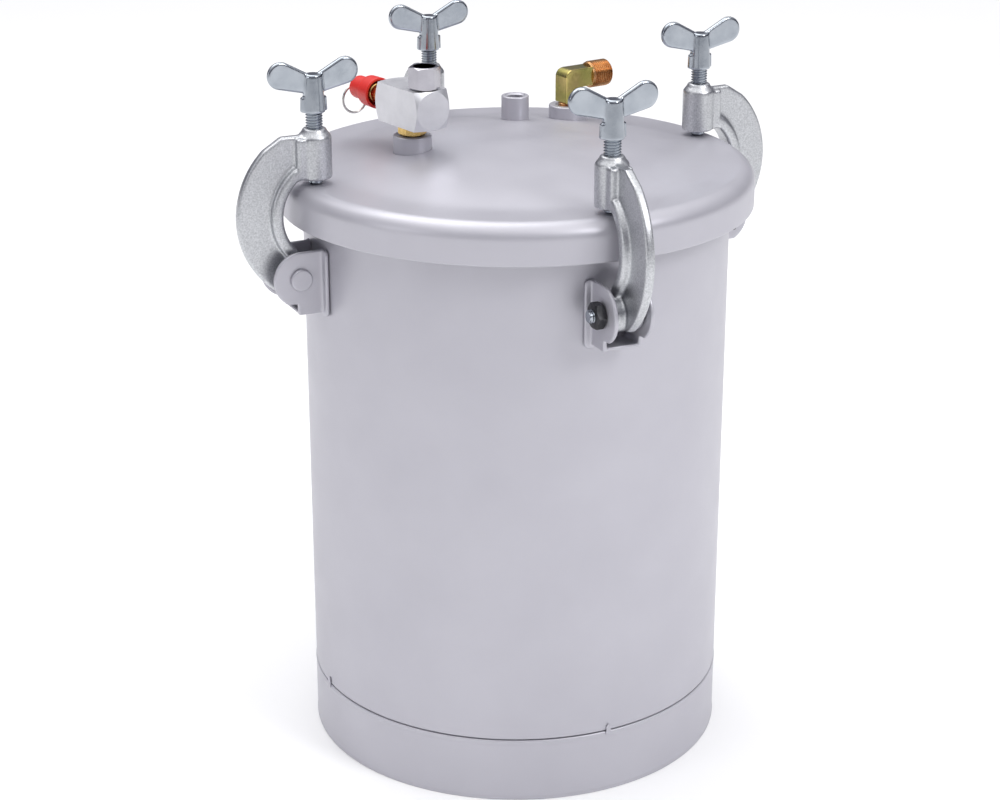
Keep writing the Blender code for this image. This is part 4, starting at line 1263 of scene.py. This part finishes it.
@dataclass
class ReliefValve:
    """Ring-pull relief valve on the block's rear end."""

    barrel: float = 5.6 * MM
    barrel_length: float = 26.0 * MM
    cap_start: float = 12.6 * MM
    cap_flare: float = 9.5 * MM
    cap_length: float = 23.0 * MM
    axis: Matrix = field(init=False)
    eye: float = field(init=False)

    def __post_init__(self) -> None:
        """Take the valve's axis from the frame: local Z runs outwards, local X runs up."""
        outward = Vector(joint("relief_pull")["axis"])
        heading = math.atan2(-outward.y, -outward.x)
        middle = centre("manifold_block")
        half_block = 21.0 * MM
        end = Matrix.Translation(middle + outward * half_block) @ spin(heading, "Z")
        self.axis = end @ spin(-QUARTER_TURN, "Y")
        self.eye = (Vector(joint("ring_swing")["pos_m"]) - middle).length - half_block

    def build(self) -> None:
        """Build the valve's pieces and dress its spring."""
        self.build_body()
        self.build_stem()
        self.build_cap()
        self.build_ring()
        dress("relief_spring", STEEL_WIRE)

    def build_body(self) -> None:
        """Brass barrel with a hexagon collar and a grooved sleeve."""
        long, wide = self.barrel_length, self.barrel
        groove = wide - 0.5 * MM
        barrel = turned(rounded([
            (3.0 * MM, long), (wide, long, 0.6 * MM), (wide, 14.0 * MM, 0.2 * MM),
            (groove, 13.6 * MM), (groove, 12.8 * MM), (wide, 12.4 * MM, 0.2 * MM),
            (wide, 0.3 * MM), (5.0 * MM, 0.3 * MM), (5.0 * MM, -8.0 * MM, 0.5 * MM),
            (3.0 * MM, -8.0 * MM), (3.0 * MM, 1.0 * MM), (4.2 * MM, 1.0 * MM),
            (4.2 * MM, long - 2 * MM), (1.9 * MM, long - 2 * MM), (1.9 * MM, long),
        ]), 64, closed=True)
        collar = lathed_prism(6, 13.0 * MM, 0.3 * MM, 6.0 * MM, 6.1 * MM, bore=5.3 * MM)
        add_piece(barrel.join(collar).moved(self.axis), "relief_body_turned", "lid", BRASS, ["relief_body"],
                  sharp=30.0)

    def build_stem(self) -> None:
        """Stem with its sealing disc inside and the ring's eye outside."""
        stem = turned(rounded([
            (0, self.eye - 1.4 * MM), (1.6 * MM, self.eye - 1.4 * MM), (1.6 * MM, 3.3 * MM),
            (3.9 * MM, 3.3 * MM, 0.3 * MM), (3.9 * MM, 1.3 * MM, 0.3 * MM), (0, 1.3 * MM),
        ], closed=False), 40)
        eye = hoop(1.85 * MM, 0.66 * MM, 40, 14).moved(Matrix.Scale(1.9, 4, (0, 0, 1)))
        cross = shift(0, 0, self.eye) @ spin(QUARTER_TURN, "Y")
        cross = cross @ spin(QUARTER_TURN, "X")
        add_piece(stem.join(eye.moved(cross)).moved(self.axis), "relief_stem_turned", "relief_pull",
                  STEEL_WIRE, ["relief_stem"])

    def build_cap(self) -> None:
        """Red cap: open flared skirt, soft step and rounded end."""
        start, flare = self.cap_start, self.cap_start + self.cap_flare
        end = start + self.cap_length
        profile = rounded([
            (1.9 * MM, end - 0.2 * MM, 0.2 * MM), (6.6 * MM, end - 0.2 * MM, 2.8 * MM),
            (6.6 * MM, flare + 1.8 * MM, 0.8 * MM), (8.8 * MM, flare, 1.2 * MM),
            (9.0 * MM, start, 0.5 * MM), (7.4 * MM, start, 0.4 * MM),
            (7.3 * MM, flare - 2 * MM, 0.6 * MM), (6.1 * MM, flare - 0.6 * MM),
            (6.1 * MM, end - 5.2 * MM, 0.5 * MM),
            (1.9 * MM, end - 5.2 * MM),
        ])
        add_piece(turned(profile, 80, closed=True).moved(self.axis), "relief_cap_moulded", "relief_pull",
                  RED_PLASTIC, ["relief_cap"], sharp=30.0)

    def build_ring(self) -> None:
        """Pull ring: a closed hoop of sprung wire."""
        low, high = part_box("pull_ring")
        wire = 0.7 * MM
        radius = (high.z - low.z) / 2 - wire - 0.02 * MM
        hang = shift(-radius, 0, self.eye)
        add_piece(hoop(radius, wire, 96, 16).moved(self.axis @ hang), "pull_ring_wire", "pull_ring",
                  STEEL_WIRE, ["pull_ring"])


@dataclass
class OutletElbow:
    """Forged outlet elbow with a thread down into its boss and one along its level leg."""

    section: float = 11.2 * MM
    leg: float = 14.6 * MM
    thread_radius: float = 8.0 * MM
    thread_length: float = 13.6 * MM
    bore: float = 4.2 * MM
    level: float = field(init=False)
    seat: Matrix = field(init=False)
    side: Matrix = field(init=False)

    def __post_init__(self) -> None:
        """Take the elbow's place and heading from the frame."""
        mounts = {entry["name"]: entry for entry in frame["record"]["mounts"]}
        heading = Vector(mounts["outlet_face"]["axis"])
        root = centre("outlet_boss")
        self.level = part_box("outlet_elbow")[1].z - self.thread_radius
        self.seat = shift(root.x, root.y, 0) @ spin(math.atan2(heading.y, heading.x), "Z")
        self.side = shift(0, 0, self.level) @ spin(QUARTER_TURN, "Y")

    def build(self) -> None:
        """Build the forging and its two threads."""
        self.build_forging()
        self.build_threads()

    def build_forging(self) -> None:
        """L-shaped body with chamfered edges and a swept outer corner."""
        half = self.section / 2
        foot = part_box("outlet_boss")[1].z + 1.5 * MM
        top = self.level + half
        outline = rounded([
            (-half, foot, 0.8 * MM), (half, foot, 0.8 * MM), (half, self.level - half, 2.2 * MM),
            (self.leg, self.level - half, 0.6 * MM), (self.leg, top, 0.6 * MM), (-half, top, 5.2 * MM),
        ])
        body = slab(outline, self.section, 1.5 * MM, 2).moved(UPRIGHT)
        add_piece(body.moved(self.seat), "outlet_elbow_forging", "lid", YELLOW_ZINC, ["outlet_elbow"],
                  sharp=24.0)

    def build_threads(self) -> None:
        """Level thread with an open bore, and the lower thread that enters the boss."""
        end = self.leg + self.thread_length
        root = self.thread_radius - 0.85 * MM
        thread = threaded(self.thread_radius, root, 1.36 * MM, self.leg - 0.6 * MM, end, 48)
        past = end + 5 * MM
        drill = turned([(0, self.leg), (self.bore, self.leg), (self.bore, past), (0, past)], 48)
        bored = thread.cut(drill).moved(self.seat @ self.side)
        add_piece(bored, "outlet_thread_level", "lid", COPPER_THREAD, sharp=35.0)
        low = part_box("outlet_elbow")[0].z
        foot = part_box("outlet_boss")[1].z + 2.2 * MM
        down = threaded(6.0 * MM, 5.3 * MM, 1.35 * MM, low, foot).moved(self.seat)
        add_piece(down, "outlet_thread_lower", "lid", COPPER_THREAD, sharp=35.0)


# ---------------------------------------------------------------------------
# Studio
# ---------------------------------------------------------------------------


@dataclass
class Studio:
    """Plain pale floor, soft white surroundings, softboxes and the camera."""

    camera_at: tuple[float, float, float] = (-546.9 * MM, -1125.4 * MM, 669.2 * MM)
    looks_at: tuple[float, float, float] = (-8.3 * MM, 4.0 * MM, 197.9 * MM)
    lens: float = 81.6

    def build(self) -> None:
        """Set up the whole studio."""
        self.add_camera()
        self.add_floor()
        self.add_surroundings()
        target = Vector((0, 0, 0.25))
        self.add_softbox("key", (0.8, -1.6, 1.6), target, 0.7, 17.0)
        self.add_softbox("side", (-1.9, -0.3, 0.8), target, 0.6, 3.0)
        self.add_softbox("top", (-0.2, 0.7, 2.0), target, 1.4, 12.0)
        bpy.context.scene.view_settings.view_transform = "Standard"

    def add_camera(self) -> None:
        """Aim the camera at the pot."""
        data = bpy.data.cameras.new("camera")
        data.lens = self.lens
        data.clip_start = 0.01
        camera = bpy.data.objects.new("camera", data)
        camera.location = self.camera_at
        view = Vector(self.looks_at) - Vector(self.camera_at)
        camera.rotation_euler = view.to_track_quat("-Z", "Y").to_euler()
        bpy.context.scene.collection.objects.link(camera)
        bpy.context.scene.camera = camera

    def add_floor(self) -> None:
        """Lay a large pale floor under the pot."""
        shape = Shape()
        bmesh.ops.create_grid(shape.bm, x_segments=1, y_segments=1, size=12.0)
        floor = bpy.data.objects.new("floor", shape.mesh("floor"))
        bpy.context.scene.collection.objects.link(floor)
        paint = bpy.data.materials.new("floor_white")
        paint.use_nodes = True
        shader = paint.node_tree.nodes["Principled BSDF"]
        shader.inputs["Base Color"].default_value = (0.93, 0.93, 0.93, 1.0)
        shader.inputs["Roughness"].default_value = 0.9
        floor.data.materials.append(paint)

    def add_surroundings(self) -> None:
        """Light the scene from all round: bright above, dimmer towards the horizon."""
        world = bpy.data.worlds.new("studio")
        world.use_nodes = True
        nodes, links = world.node_tree.nodes, world.node_tree.links
        coords = nodes.new("ShaderNodeTexCoord")
        split = nodes.new("ShaderNodeSeparateXYZ")
        ramp = nodes.new("ShaderNodeValToRGB")
        stops = ((0.0, (0.03, 0.03, 0.045)), (0.45, (0.20, 0.20, 0.23)), (0.90, (1.0, 1.0, 1.0)))
        elements = ramp.color_ramp.elements
        elements.new(0.5)
        for element, (place, colour) in zip(elements, stops):
            element.position = place
            element.color = (*colour, 1.0)
        links.new(coords.outputs["Generated"], split.inputs["Vector"])
        links.new(split.outputs["Z"], ramp.inputs["Fac"])
        links.new(ramp.outputs["Color"], nodes["Background"].inputs["Color"])
        nodes["Background"].inputs["Strength"].default_value = 1.6
        bpy.context.scene.world = world

    def add_softbox(
        self, name: str, at: Sequence[float], target: Vector, size: float, power: float
    ) -> None:
        """Hang one softbox.

        Args:
            name: Its name.
            at: Where it hangs.
            target: What it faces.
            size: Its width and height.
            power: Its power in watts.
        """
        data = bpy.data.lights.new(name, "AREA")
        data.size = size
        data.energy = power
        lamp = bpy.data.objects.new(name, data)
        lamp.location = at
        lamp.rotation_euler = (target - Vector(at)).to_track_quat("-Z", "Y").to_euler()
        bpy.context.scene.collection.objects.link(lamp)


def main() -> None:
    """Build the studio and every sub-assembly of the pot."""
    logging.basicConfig(level=logging.INFO, format="%(message)s")
    Studio().build()
    for assembly in (Tank(), Lid(), Clamp(), Inlet(), ReliefValve(), OutletElbow()):
        assembly.build()
        LOG.info("%s done", type(assembly).__name__)


if __name__ == "__main__":
    main()
